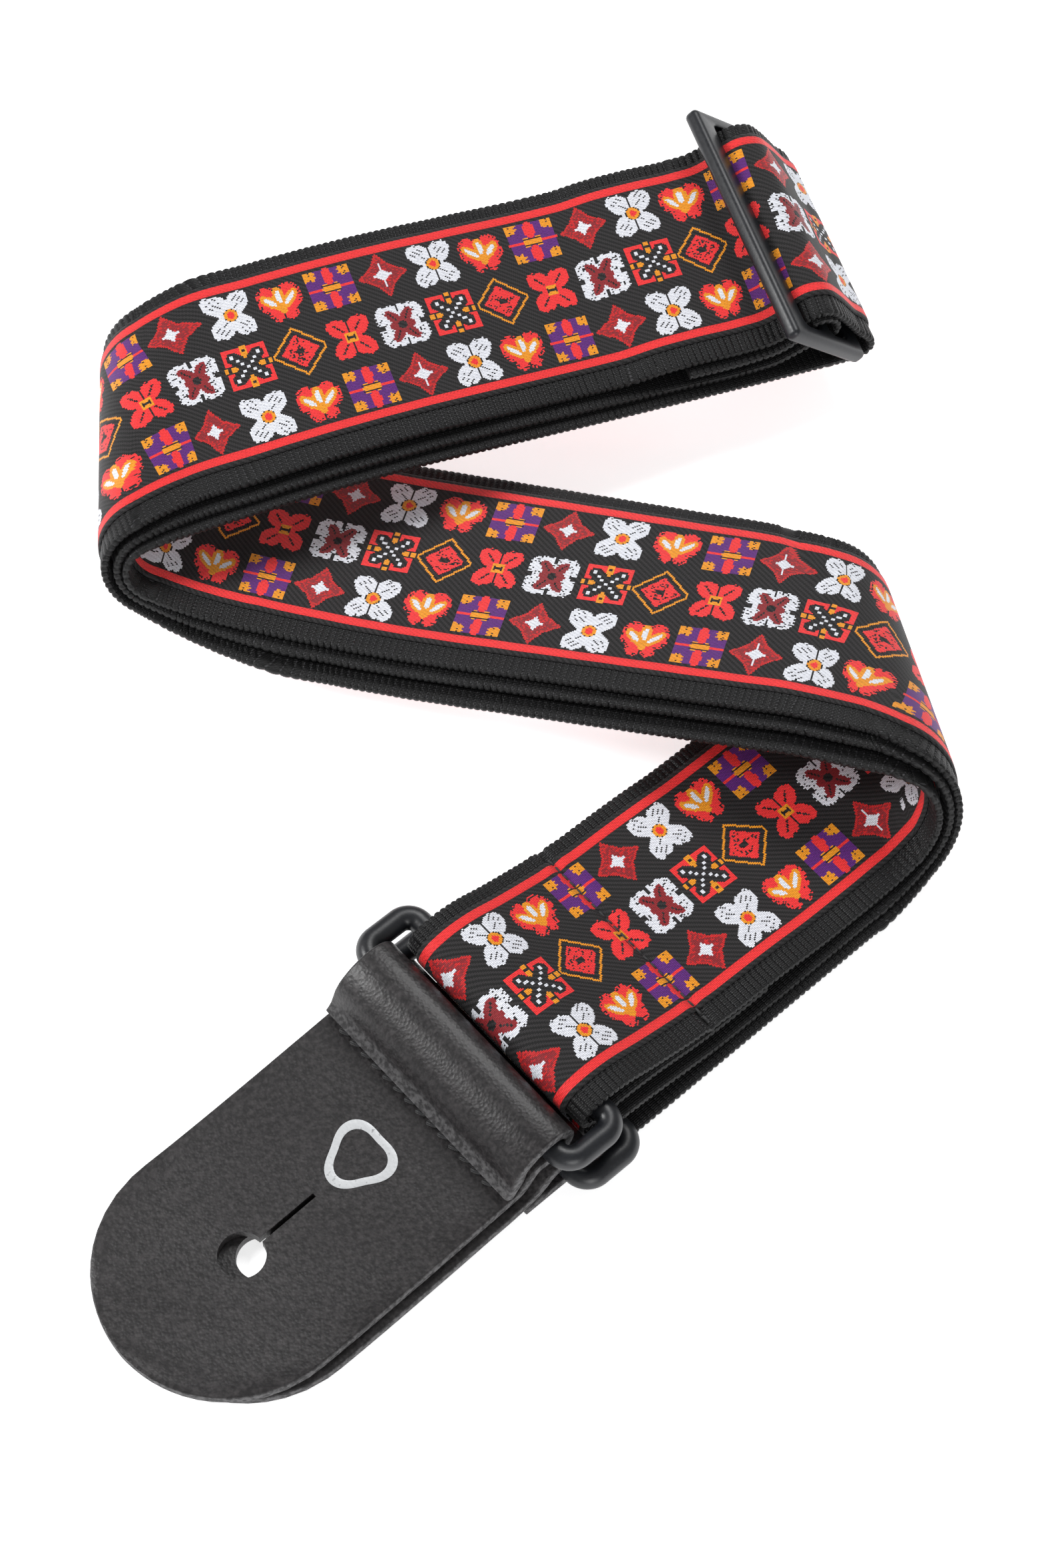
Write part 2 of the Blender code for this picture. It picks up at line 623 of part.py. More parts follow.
def seamPoints():
    pts = [p for p in smoothPath([(13, BAR_A_Z + WRAP_R - 3.4), (22, Z_A + 6.2), (31, Z_A + 3.6),
                                  (41, Z_A + 2.7)], 12)]
    near = [p for p in pts if 27.5 < p[0] < 28.9][:2]
    return [(x, z, s, STAGGER["a"]["bottom"]) for x, z, s in near]


clearScene()
buildStrap()
buildLoop("loop_a", True)
buildLoop("loop_b", False)
leatherEnd("leather_a", True)
leatherEnd("leather_b", False)
buildSlider()
buildTrim()
buildMark()
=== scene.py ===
import math
import bpy
import numpy as np
from mathutils import Matrix, Vector


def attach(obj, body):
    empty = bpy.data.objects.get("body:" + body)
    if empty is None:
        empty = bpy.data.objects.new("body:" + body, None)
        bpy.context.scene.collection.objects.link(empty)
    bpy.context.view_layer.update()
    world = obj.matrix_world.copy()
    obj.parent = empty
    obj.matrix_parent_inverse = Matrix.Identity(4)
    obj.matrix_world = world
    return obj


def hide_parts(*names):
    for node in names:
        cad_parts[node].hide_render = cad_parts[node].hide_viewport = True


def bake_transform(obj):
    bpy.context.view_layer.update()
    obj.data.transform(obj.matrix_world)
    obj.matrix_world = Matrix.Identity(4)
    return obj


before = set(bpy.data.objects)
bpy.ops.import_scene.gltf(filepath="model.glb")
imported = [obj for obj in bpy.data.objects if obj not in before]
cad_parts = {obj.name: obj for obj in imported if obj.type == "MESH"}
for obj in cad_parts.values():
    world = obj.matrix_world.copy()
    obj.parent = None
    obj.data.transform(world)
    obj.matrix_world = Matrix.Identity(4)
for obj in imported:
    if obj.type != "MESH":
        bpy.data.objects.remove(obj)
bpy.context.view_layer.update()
print("frame loaded:", len(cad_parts), "nodes")

# the run of the folded strap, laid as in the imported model
strap = {
    "layout": (0.13, -8.6, -0.15), "azimuth": (41.5, -15.2, 20.2),
    "bottomPoint": (34.8, -25.0), "midPoint": (17.5, 34.8), "topPoint": (-14.1, 94.2),
    "foldRight": (63.4, 13.0), "foldLeft": (-53.9, 77.7),
    "near": -25.6, "far": 24.2, "ribbonHalf": 21.1, "pitch": 2.5, "cloth": 2.2,
    "zBottom": 4.0, "zMid": 6.9,
    "rightArcs": ((20.0, 22.0), (149.0, 7.6), (20.0, 18.0)),
    "leftArcs": ((24.0, 60.0), (138.0, 7.4), (18.0, 30.0)),
    "midSlope": 9.0, "midBend": 220.0, "midFlat": 4.0, "midLength": 112.0, "midTrim": 9.0,
    "topLevel": 14.0, "topDrop": 7.0, "topBend": 300.0, "midLean": -7.0, "topLean": 3.0,
    "foldLean": -13.3,
    "stagger": {"a": (0.0, -5.2, 0.0), "b2": (-1.8, -2.2, -2.3), "b1": (-3.6, 0.0, -4.4)},
    "layer": {"a": 1, "b2": 0, "b1": -1},
}
# the loops' round bars, and where the buckle sits on the strap's far end
hardware = {
    "barRadius": 2.4, "spacing": 12.2, "inner": 54.0, "loopShift": 2.9, "barFromPoint": -49.2,
    "sliderAt": 74.0, "sliderLift": 8.3, "sliderTilt": -40.0, "sliderSize": (24.6, 59.0, 3.4),
    "sliderSide": -2.3, "sliderBar": 5.0, "sliderMid": 3.0, "slotWide": 52.6, "turnFrom": 44.0, "gap": 0.3,
}
up = np.array([0.0, 0.0, 1.0])


def level(azimuth):
    a = math.radians(azimuth)
    return np.array([math.cos(a), math.sin(a), 0.0])


def onGround(p):
    return np.array([p[0], p[1], 0.0])


# a run is a list of rules, and a rule is one straight line across the strap: its centre, its direction
# across and its outward normal
def lifted(rules, h):
    return [(c + n * h, a, n) for c, a, n in rules]


def turnedOver(rules):
    return [(c, a, -n) for c, a, n in rules[::-1]]


def arcPoints(arcs, q, z, heading, turn, step=5.0):
    out, length = [(q, z, heading, 0.0)], 0.0
    for degrees, radius in arcs:
        parts = max(1, math.ceil(degrees / step))
        for _ in range(parts):
            da = math.radians(degrees / parts) * turn
            h = math.radians(heading) + da / 2
            chord = 2 * radius * math.sin(abs(da) / 2)
            q, z = q + chord * math.cos(h), z + chord * math.sin(h)
            heading += math.degrees(da)
            length += abs(da) * radius
            out.append((q, z, heading, length))
    return out


azBottom, azMid, azTop = strap["azimuth"]


# the line that the strap folds over: b runs into the fold and t along the crease
class Crease:
    def __init__(self, point, azimuth):
        self.at, self.azimuth = onGround(point), azimuth
        self.b, self.t = level(azimuth), level(azimuth + 90)

    def rule(self, q, z, heading, shift, runAz, lean=0.0):
        a, k = math.radians(heading), math.radians(lean)
        path = self.b * math.cos(a) + up * math.sin(a)
        across = self.t * math.cos(k) + up * math.sin(k)
        normal = np.cross(path, across)
        normal /= np.linalg.norm(normal)
        at = self.at + self.b * q + up * z + self.t * shift
        return at, across / math.cos(math.radians(runAz - self.azimuth)), normal

    def shiftAt(self, q, point, runAz, stagger):
        rel = onGround(point) - self.at
        beta = math.radians(runAz - self.azimuth)
        return rel @ self.t + (q - rel @ self.b) * math.tan(beta) + stagger / math.cos(beta)


creaseR = Crease(strap["foldRight"], (azBottom + azMid) / 2)
creaseL = Crease(strap["foldLeft"], (azTop + azMid) / 2)
dirBottom, sideBottom = level(azBottom), level(azBottom + 90)
profileR = arcPoints(strap["rightArcs"], 0, strap["zBottom"], 0, 1)
profileL = arcPoints(strap["leftArcs"], 0, strap["zMid"], 180, -1)
barA = onGround(strap["bottomPoint"]) + dirBottom * hardware["barFromPoint"]


def foldRules(crease, profile, before, after):
    (p0, az0, st0, k0), (p1, az1, st1, k1) = before, after
    c0 = crease.shiftAt(profile[0][0], p0, az0, st0)
    c1 = crease.shiftAt(profile[-1][0], p1, az1, st1)
    out = []
    for q, z, a, s in profile:
        u = s / profile[-1][3]
        out.append(crease.rule(q, z, a, c0 + (c1 - c0) * u, az1, k0 + (k1 - k0) * u))
    return out


def rightFold(layer):
    st = strap["stagger"][layer]
    return foldRules(creaseR, profileR, (strap["bottomPoint"], azBottom, st[0], 0.0),
            (strap["midPoint"], azMid, st[1], strap["foldLean"]))


def leftFold(layer):
    st = strap["stagger"][layer]
    return foldRules(creaseL, profileL, (strap["midPoint"], azMid, st[1], strap["midLean"]),
            (strap["topPoint"], azTop, st[2], strap["topLean"]))


def midRun(layer, parts=9):
    st = strap["stagger"][layer][1]
    slope, radius = math.radians(strap["midSlope"]), strap["midBend"]
    flat, length = strap["midFlat"], strap["midLength"]
    bend = radius * math.sin(slope)
    out = []
    for k in range(parts):
        q = flat + (length - flat - strap["midTrim"]) * (1 - k / parts)
        a = min(slope, math.asin(min(1.0, (q - flat) / radius)))
        z = strap["zMid"] + radius * (1 - math.cos(a)) + max(0.0, q - flat - bend) * math.tan(slope)
        lean = strap["midLean"] * (1 + q / length)
        shift = creaseL.shiftAt(q, strap["midPoint"], azMid, st)
        out.append(creaseL.rule(q, z, 180 + math.degrees(a), shift, azMid, lean))
    return out


topStart = profileL[-1]
topArc = arcPoints(((strap["topDrop"], strap["topBend"]),), topStart[0] + strap["topLevel"], topStart[1],
                   0, -1, 2.0)


def buckleFrame():
    q, z, heading, _ = topArc[-1]
    a = math.radians(heading)
    b3 = creaseL.b * math.cos(a) + up * math.sin(a)
    normal = creaseL.b * -math.sin(a) + up * math.cos(a)
    beta = math.atan(math.cos(a) * math.tan(math.radians(azTop - creaseL.azimuth)))
    along = b3 * math.cos(beta) + creaseL.t * math.sin(beta)
    shift = creaseL.shiftAt(q, strap["topPoint"], azTop, 0)
    origin = creaseL.at + creaseL.b * q + up * z + creaseL.t * shift
    return origin + along * hardware["sliderAt"], along, np.cross(normal, along), normal


endAt, endAlong, endAcross, endNormal = buckleFrame()


def endRule(x, y, slope, side):
    a = math.radians(slope)
    normal = endAlong * -math.sin(a) + endNormal * math.cos(a)
    return endAt + endAlong * x + endNormal * y + endAcross * side, endAcross, normal


def topRun(layer):
    st = strap["stagger"][layer][2]
    q0, q1 = topStart[0], topArc[-1][0]
    out = []
    for q, z, heading, _ in topArc:
        lean = strap["topLean"] * (1 - (q - q0) / (q1 - q0))
        shift = creaseL.shiftAt(q, strap["topPoint"], azTop, st)
        out.append(creaseL.rule(q, z, heading, shift, azTop, lean))
    return out + [endRule(-hardware["turnFrom"], 0, 0, st)]


def hermite(p0, m0, p1, m1, u):
    start = (2 * u**3 - 3 * u**2 + 1) * p0 + (u**3 - 2 * u**2 + u) * m0
    return start + (-2 * u**3 + 3 * u**2) * p1 + (u**3 - u**2) * m1


def smoothPath(points, per):
    pts = [np.array(p, float) for p in points]
    pts = [pts[0] * 2 - pts[1]] + pts + [pts[-1] * 2 - pts[-2]]
    size = np.linalg.norm

    def velocity(a, b, c):
        d0, d1 = size(b - a), size(c - b)
        return ((b - a) * (d1 / d0) + (c - b) * (d0 / d1)) / (d0 + d1)

    out = []
    for i in range(1, len(pts) - 2):
        p0, p1, p2, p3 = pts[i - 1 : i + 3]
        m1, m2 = velocity(p0, p1, p2) * size(p2 - p1), velocity(p1, p2, p3) * size(p2 - p1)
        for k in range(per + (i == len(pts) - 3)):
            u = k / per
            pos = hermite(p1, m1, p2, m2, u)
            d = (6 * u**2 - 6 * u) * (p1 - p2) + (3 * u**2 - 4 * u + 1) * m1 + (3 * u**2 - 2 * u) * m2
            out.append((pos[0], pos[1], math.degrees(math.atan2(d[1], d[0]))))
    return out


# the strap through the buckle and round the far turn, seen from the side, and its hidden end
turnPath = (
    (-44, 2.5), (-40, 3.0), (-33, 4.6), (-24, 5.5), (-14, 6.0), (-9.9, 6.9), (-7.0, 8.9), (-4.7, 12.1),
    (-1.5, 14.5), (2.1, 14.2), (5.1, 11.4), (7.6, 8.2), (9.8, 5.3), (11.8, 3.4), (13.2, 1.3), (13.2, -0.9),
    (11.6, -2.3), (8.5, -2.6), (4, -2.5), (-10, -2.5), (-44, -2.5),
)
endPath = (
    (-44, 0.0), (-30, 0.0), (-14, 0.1), (-8, 1.0), (-4.6, 2.9), (-1.3, 4.7), (1.3, 4.9), (3.1, 6.5),
    (3.6, 8.9), (2.6, 10.9), (0.0, 11.95), (-2.3, 11.0), (-3.5, 9.1), (-5.1, 6.6), (-8, 4.6),
    (-14, 3.3), (-28, 2.7),
)


def bucklePath(path, sideStart, sideEnd, per=4):
    pts = smoothPath(path, per)
    n = len(pts) - 1
    return [endRule(x, y, s, sideStart + (sideEnd - sideStart) * i / n) for i, (x, y, s) in enumerate(pts)]


def bottomRule(x, z, slope, side):
    a = math.radians(slope)
    normal = dirBottom * -math.sin(a) + up * math.cos(a)
    return barA + dirBottom * x + up * z + sideBottom * side, sideBottom, normal


bottomFlat = 66.0
zA, zB1 = strap["zBottom"] + strap["pitch"], strap["zBottom"] - strap["pitch"]
wrapRadius = hardware["barRadius"] + hardware["gap"] + strap["cloth"] / 2
barBz = zB1 + wrapRadius
tailZ = barBz + wrapRadius + strap["pitch"]
barAz = tailZ + wrapRadius

# where the cloth comes down from the upper loop's bar and is sewn to the layer below
sewnSlope = [(13, barAz + wrapRadius - 3.4), (22, zA + 6.2), (31, zA + 3.6), (41, zA + 2.7)]


def wrapPoints(x, z):
    # half a turn round a bar, from below it to above it
    turn = [math.radians(270 - 180 * i / 8) for i in range(9)]
    return [(x + wrapRadius * math.cos(a), z + wrapRadius * math.sin(a)) for a in turn]


def bottomRunA():
    pts = [(43, zA + 0.1), (36, zA + 0.25), (26, zA + 1.2), (14, tailZ - 1.0), (6, tailZ - 0.1)]
    pts += wrapPoints(0, barAz)
    pts += [(6, barAz + wrapRadius - 0.6)] + sewnSlope + [(50, zA + 1.7), (58, zA + 0.4), (bottomFlat, zA)]
    return [bottomRule(x, z, s, strap["stagger"]["a"][0]) for x, z, s in smoothPath(pts, 3)]


def bottomRunB():
    s = hardware["loopShift"]
    z = strap["zBottom"]
    pts = [(bottomFlat, zB1), (40, zB1), (12, zB1)] + wrapPoints(s, barBz)
    pts += [(s + 7, barBz + wrapRadius - 0.9), (s + 16, z + 2.4), (s + 26, z + 0.5), (s + 36, z),
            (bottomFlat, z)]
    low, high = strap["stagger"]["b1"][0], strap["stagger"]["b2"][0]
    return [bottomRule(x, z, a, low + (high - low) * min(max((i - 6) / 30, 0), 1))
            for i, (x, z, a) in enumerate(smoothPath(pts, 3))]


def wholePath():
    stretches = [("a_bottom", bottomRunA())]
    for layer in ("a", "b1", "b2"):
        runs = [("fold_right", rightFold(layer)), ("middle", midRun(layer)), ("fold_left", leftFold(layer)),
                ("top", topRun(layer))]
        height = strap["layer"][layer] * strap["pitch"]
        runs = [(layer + "_" + name, lifted(rules, height)) for name, rules in runs]
        if layer == "b1":
            runs = [(name, turnedOver(rules)) for name, rules in runs[::-1]]
        stretches += runs
        if layer == "a":
            sides = strap["stagger"]["a"][2], strap["stagger"]["b1"][2]
            stretches.append(("turn", bucklePath(turnPath, *sides)))
        if layer == "b1":
            stretches.append(("b_bottom", bottomRunB()))
        if layer == "b2":
            side = strap["stagger"]["b2"][2]
            stretches.append(("b2_end", bucklePath(endPath, side, side)))
    return stretches


def resample(runs):
    keys = []
    for name, rules in runs:
        for rule in rules:
            if keys and np.linalg.norm(keys[-1][1][0] - rule[0]) < 0.3:  # two runs meet here
                keys.pop()
            keys.append((name, rule))
    c, a, n = (np.array([rule[k] for _, rule in keys]) for k in range(3))
    chord = np.linalg.norm(np.diff(c, axis=0), axis=1)
    t = np.concatenate([[0], np.cumsum(chord)])
    slope = np.zeros_like(c)
    d, w = np.diff(c, axis=0) / chord[:, None], chord[:, None]
    slope[1:-1] = (d[:-1] * w[1:] + d[1:] * w[:-1]) / (w[:-1] + w[1:])
    slope[0], slope[-1] = d[0], d[-1]
    edges = {}
    for i, (name, _) in enumerate(keys):
        edges.setdefault(name, [i, i])[1] = i
    return c, a, n, t, slope, edges


# one smooth line through all the rules, so every stretch is cut from the same strap
keyAt, keyAcross, keyNormal, keyT, keySlope, edges = resample(wholePath())


def ruleAt(t):
    t = np.asarray(t, float)
    i = np.clip(np.searchsorted(keyT, t, side="right") - 1, 0, len(keyT) - 2)
    h = (keyT[i + 1] - keyT[i])[:, None]
    u = (t - keyT[i])[:, None] / h
    c = hermite(keyAt[i], h * keySlope[i], keyAt[i + 1], h * keySlope[i + 1], u)
    s = u * u * (3 - 2 * u)
    a = keyAcross[i] * (1 - s) + keyAcross[i + 1] * s
    n = keyNormal[i] * (1 - s) + keyNormal[i + 1] * s
    return c, a, n / np.linalg.norm(n, axis=1)[:, None]


fineT = np.arange(0, keyT[-1], 0.25)
fineAt = ruleAt(fineT)[0]
fineS = np.concatenate([[0], np.cumsum(np.linalg.norm(np.diff(fineAt, axis=0), axis=1))])

# the cloth: its columns and rows, the stations where a counted column lies (length along, column), its
# ribs, and the sewn row with its pucker
weave = {
    "column": 11.1, "row": 12.6,
    "stations": ((40.3, 0), (117.6, 7), (356.0, 28), (476.4, 39), (711.1, 60), (824.1, 70), (1446, 125)),
    "rib": 1.4, "ribHeight": 0.4, "ribStep": 0.2, "ribbonStep": 0.6, "hiddenRibbon": 19.0,
    "seamAt": 28.2,
    "pucker": ((-0.75, 0.2, 1.0), (0.3, -2.2, 1.3), (0.2, 2.4, 1.3)),  # height, place from the seam, width
    "stand": {"a_bottom": 0.9, "b_bottom": 1.3},  # how far it stands off the bar, facing the leather
}
stationS = np.array([s for s, _ in weave["stations"]])
stationU = np.array([c * weave["column"] for _, c in weave["stations"]])


def alongWeave(s):
    low = stationU[0] + (s - stationS[0]) * (stationU[1] - stationU[0]) / (stationS[1] - stationS[0])
    high = stationU[-1] + (s - stationS[-1])
    return np.where(s < stationS[0], low, np.where(s > stationS[-1], high, np.interp(s, stationS, stationU)))


def seamStation():
    mark = next(p for p in smoothPath(sewnSlope, 24) if p[0] > weave["seamAt"])
    rule = bottomRule(*mark, strap["stagger"]["a"][0])
    return rule, fineS[np.linalg.norm(fineAt - rule[0], axis=1).argmin()]


seamRule, seamS = seamStation()


def inMetres(points):
    return (np.asarray(points) + np.array(strap["layout"])) * 0.001


def pick(*pieces):
    # only these are selected, and the last is the active one
    bpy.ops.object.select_all(action="DESELECT")
    for piece in pieces:
        piece.select_set(True)
        bpy.context.view_layer.objects.active = piece


def newPiece(name, points, faces, uv=None, smooth=40):
    mesh = bpy.data.meshes.new(name)
    mesh.from_pydata(inMetres(points).tolist(), [], faces)
    piece = bpy.data.objects.new(name, mesh)
    bpy.context.scene.collection.objects.link(piece)
    if uv is not None:
        layer = mesh.uv_layers.new(name="lay")
        corner = np.zeros(len(mesh.loops), np.int32)
        mesh.loops.foreach_get("vertex_index", corner)
        layer.data.foreach_set("uv", (np.asarray(uv)[corner] * 0.001).astype(np.float32).ravel())
    mesh.polygons.foreach_set("use_smooth", [True] * len(mesh.polygons))
    pick(piece)
    bpy.ops.object.shade_smooth_by_angle(angle=math.radians(smooth))
    return piece


def placeMesh(piece, at, x, y, z):
    turn = Matrix((Vector(x), Vector(y), Vector(z))).transposed().to_4x4()
    piece.data.transform(Matrix.Translation(Vector(inMetres(at))) @ turn)


def dress(piece, finish, node=None):
    piece.data.materials.clear()
    piece.data.materials.append(finish)
    if node:
        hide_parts(node)
    return piece


def tubeFaces(rows, count):
    r, k = np.meshgrid(np.arange(rows - 1), np.arange(count), indexing="ij")
    a, b = r * count + k, r * count + (k + 1) % count
    quads = np.stack([a, b, b + count, a + count], -1).reshape(-1, 4).tolist()
    first, last = list(range(count))[::-1], list(range((rows - 1) * count, rows * count))
    return quads + [first, last]


def facesOut(points, faces):
    # the sign of the volume says which way a closed tube faces
    p = np.asarray(points)
    quads = np.array([f for f in faces if len(f) == 4])
    a, b, c, d = (p[quads[:, k]] - p[0] for k in range(4))
    volume = (a * np.cross(b, c)).sum() + (a * np.cross(c, d)).sum()
    return faces if volume > 0 else [f[::-1] for f in faces]


def bandPiece(name, t0, t1, step, section, ribbed):
    rows = max(2, math.ceil((t1 - t0) / step) + 1)
    t = np.linspace(t0, t1, rows)
    c, a, n = ruleAt(t)
    ahead = ruleAt(np.minimum(t + 0.05, keyT[-1]))[0] - ruleAt(np.maximum(t - 0.05, 0))[0]
    path = ahead / np.linalg.norm(ahead, axis=1)[:, None]
    v, h = (np.array([p[k] for p in section])[None, :] for k in (0, 1))
    # length along the cloth, which runs aslant where a rule crosses it at a slant
    cloth = np.interp(t, fineT, fineS)[:, None] + v * (a * path).sum(1)[:, None]
    if ribbed:
        lift, outward = (np.array([p[k] for p in section])[None, :] for k in (2, 3))
        rib = np.abs(np.sin(np.pi * alongWeave(cloth) / weave["rib"])) ** 0.5 - 0.75
        h = h + rib * weave["ribHeight"] * lift
        v = v + rib * weave["ribHeight"] * outward
    for height, place, width in weave["pucker"]:
        h = h + height * np.exp(-((cloth - seamS - place) / width) ** 2)
    # it stands off most where it faces straight back along the strap
    stand = weave["stand"].get(name.split("_", 1)[1], 0.0)
    h = h + stand * np.maximum(0, -(n @ dirBottom) - 0.3)[:, None] / 0.7
    p = c[:, None, :] + a[:, None, :] * v[..., None] + n[:, None, :] * h[..., None]
    uv = np.stack([alongWeave(cloth) + 0 * v, v + 0 * cloth], -1)
    points = p.reshape(-1, 3)
    faces = facesOut(points, tubeFaces(rows, len(section)))
    return newPiece(name, points, faces, uv.reshape(-1, 2), 60 if ribbed else 50)


def webbingSection():
    # across, height, then how far a rib lifts the point and pushes it outward
    near, far = strap["near"], strap["far"]
    edge = ((0.28, 0.33, 0.8, 0.6), (0.04, 0.05, 0.2, 1), (0, -0.35, 0, 1), (0.04, -0.75, -0.2, 1),
            (0.28, -1.02, -0.8, 0.6))
    out = [(v, 0.4, 0, 0) for v in (-20.4, -10, 0, 10, 20.4)]
    out += [(v, 0.42, 1, 0) for v in (20.9, 21.6, 22.4, 23.2)]
    out += [(far - inset, h, lift, push) for inset, h, lift, push in edge]
    out += [(v, -1.1, -1, 0) for v in (22.5, 14, 5, -5, -14, -23.9)]
    out += [(near + inset, h, lift, -push) for inset, h, lift, push in edge[::-1]]
    return out + [(v, 0.42, 1, 0) for v in (-24.6, -23.7, -22.8, -21.9, -20.9)]


def ribbonSection():
    half = strap["ribbonHalf"]
    edge = ((0, 0.6), (0.12, 0.83), (0.5, 0.97))
    top = [(inset - half, h) for inset, h in edge]
    top += [(v, 1.04) for v in np.linspace(-half + 1.4, half - 1.4, 15)]
    top += [(half - inset, h) for inset, h in edge[::-1]]
    return top + [(half - 0.1, 0.5), (0, 0.45), (-half + 0.1, 0.5)]


webbingShape, ribbonShape = webbingSection(), ribbonSection()


def stretches():
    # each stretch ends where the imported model's node ends
    order, cuts = list(edges), [0.0]
    for before, after in zip(order, order[1:]):
        cuts.append(keyT[edges[before][1] if "fold" in before else edges[after][0]])
    cuts.append(keyT[-1])
    return [(name, cuts[i], cuts[i + 1]) for i, name in enumerate(order)]


# spans at each fold and at the buckle, in metres from the crease or back from the buckle
bends = {"right": (0.0095, 0.0142), "left": (0.0135, 0.0225), "buckle": (-0.030, -0.008), "rightLean": 0.12}


def blendAcross(piece, at, direction, reach):
    at + direction * reach[0]
    at + direction * reach[1]
    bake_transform(piece)


def holdPiece(piece, name):
    if "fold_right" in name:
        lean = Vector(creaseR.t) * bends["rightLean"] + Vector((0, 0, 1))
        blendAcross(piece, Vector(inMetres(creaseR.at)),
                    lean / lean.length_squared, bends["right"])
    elif "fold_left" in name:
        blendAcross(piece, Vector(inMetres(creaseL.at)),
                    Vector((0, 0, 1)), bends["left"])
    elif name in ("turn", "b2_end"):
        blendAcross(piece, Vector(inMetres(endAt)), Vector(endAlong), bends["buckle"])
    else:
        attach(piece, "strap_" + name.rsplit("_", 1)[1])


def buildStrap(webbing, ribbon):
    for name, t0, t1 in stretches():
        band = bandPiece("strap_" + name, t0, t1, weave["ribStep"], webbingShape, True)
        holdPiece(dress(band, webbing, "webbing_" + name), name)
        if name == "b2_end":  # the ribbon stops short at the hidden end
            t1 = t0 + weave["hiddenRibbon"]
        face = bandPiece("pattern_" + name, t0, t1, weave["ribbonStep"], ribbonShape, False)
        holdPiece(dress(face, ribbon, "ribbon_" + name), name)
    print("strap: webbing and ribbon in", len(edges), "stretches")


# the leather ends, each a base, a wrap round the loop's bar, and a flap sewn back on the base
leather = {
    "thick": 2.4, "wide": 52.0, "long": 83.0, "step": 10.0, "hole": 4.6, "holeFromBar": 54.3,
    "slit": 13.0, "slitWide": 0.9, "sideB": -1.6, "round": 0.55, "gap": 0.3,
    "puff": {"a": 1.15, "b": 0.8},  # how far the wrap swells towards the cloth
    "tip": (89.6, 88, 86, 83.5, 80.5, 77, 73, 68.5, 64, 59, 53, 47, 40, 33, 25, 16, 6),
    "rawEdge": 1.0, "rawEnd": 0.75,
}
# rows of stitches: pitch and half width of the row, and a stitch's length and thickness
stitches = {
    "leather": {"pitch": 3.15, "half": 20.5, "long": 2.3, "thick": 0.85, "pastStep": 1.55},
    "seam": {"pitch": 2.1, "from": -23.4, "to": 22.4, "long": 1.7, "thick": 0.55, "wander": 0.10},
}
wrapLeather = hardware["barRadius"] + leather["gap"] + leather["thick"] / 2
leatherLow = leather["gap"] + leather["thick"] / 2
leftBz = leatherLow + wrapLeather
leftAz = leftBz + 2 * wrapLeather + leather["thick"] + leather["gap"]


def loopBar(spaced, z, shift):
    return barA + dirBottom * (shift - spaced) + up * z


def leatherRule(x, z, slope, upper):
    a = math.radians(slope)
    bar = loopBar(hardware["spacing"], 0, 0 if upper else hardware["loopShift"])
    side = 0.0 if upper else leather["sideB"]
    normal = dirBottom * -math.sin(a) + up * math.cos(a)
    return onGround(bar) - dirBottom * x + up * z + sideBottom * side, sideBottom, normal


def tipHalf(x):
    half = leather["wide"] / 2
    over = x - (leather["long"] - half)
    return half if over <= 0 else math.sqrt(max(half * half - over * over, 0.05))


def leatherPath(upper, angles):
    # from the round tip to the bar, then round it and back to the flap's cut end
    low = leatherLow + (leather["thick"] + leather["gap"] if upper else 0.0)
    half = leather["wide"] / 2
    barZ, sign = (leftAz, -1) if upper else (leftBz, 1)
    tip = [leather["long"] - half + half * math.sin(math.radians(a)) for a in angles]
    base = [(x, low) for x in tip] + [(50, low + 0.05), (40, low + 0.5), (30, low + 1.2), (20, low + 2.1)]
    base += [(12.6, low + 2.75), (8, low + (3.4 if upper else 4.2)), (4, barZ + sign * (wrapLeather - 0.35))]
    turn = [math.radians(90 * sign - 180 * sign * i / 8) for i in range(9)]
    wrap = [(-wrapLeather * math.cos(a), barZ + wrapLeather * math.sin(a)) for a in turn]
    flapEnd = leather["step"] + 1.1
    if upper:
        flap = [(3.5, barZ + wrapLeather - 0.5), (7.5, barZ + 0.7), (10.4, low + 6.2), (flapEnd, low + 5.5)]
    else:
        flap = [(4, leatherLow), (8, leatherLow), (flapEnd, leatherLow)]
    return base, wrap + flap


def leatherTop(x, upper):
    base, _ = leatherPath(upper, (89.3, 84, 76, 66, 54, 40, 22, 6))
    xs, zs = np.array(sorted(base)).T
    rise = (np.interp(x + 0.4, xs, zs) - np.interp(x - 0.4, xs, zs)) / 0.8
    return leatherRule(x, np.interp(x, xs, zs), -math.degrees(math.atan(rise)), upper)


def leatherRing(w, row, puff):
    # one cross-section: a slightly wavy face, soft corners, and cut edges with a fine groove
    half, k = leather["thick"] / 2, min(leather["round"], w * 0.5)

    def corner(signV, signH, turns):
        return [(signV * (w - k * (1 - math.cos(b))), signH * (half - k * (1 - math.sin(b)))) for b in turns]

    down, rise = (1.1, 0.7, 0.3), (0.3, 0.7, 1.1)
    face = [(v * (w - k), half + puff + 0.05 * math.sin(0.9 * row + 5 * v)) for v in np.linspace(-1, 1, 11)]
    back = [(v * (w - k), -half) for v in np.linspace(1, -1, 7)]
    right = corner(1, 1, down) + [(w, 0.4), (w - 0.05, 0.0), (w, -0.4)] + corner(1, -1, rise)
    left = corner(-1, -1, down) + [(-w, -0.4), (-w + 0.05, 0.0), (-w, 0.4)] + corner(-1, 1, rise)
    return face + right + back + left


def discard(piece):
    bpy.data.objects.remove(piece, do_unlink=True)


def cutWith(piece, cutter):
    pick(piece)
    trim = piece.modifiers.new("trim", "BOOLEAN")
    trim.operation, trim.solver, trim.object = "DIFFERENCE", "EXACT", cutter
    bpy.ops.object.modifier_apply(modifier=trim.name)
    discard(cutter)


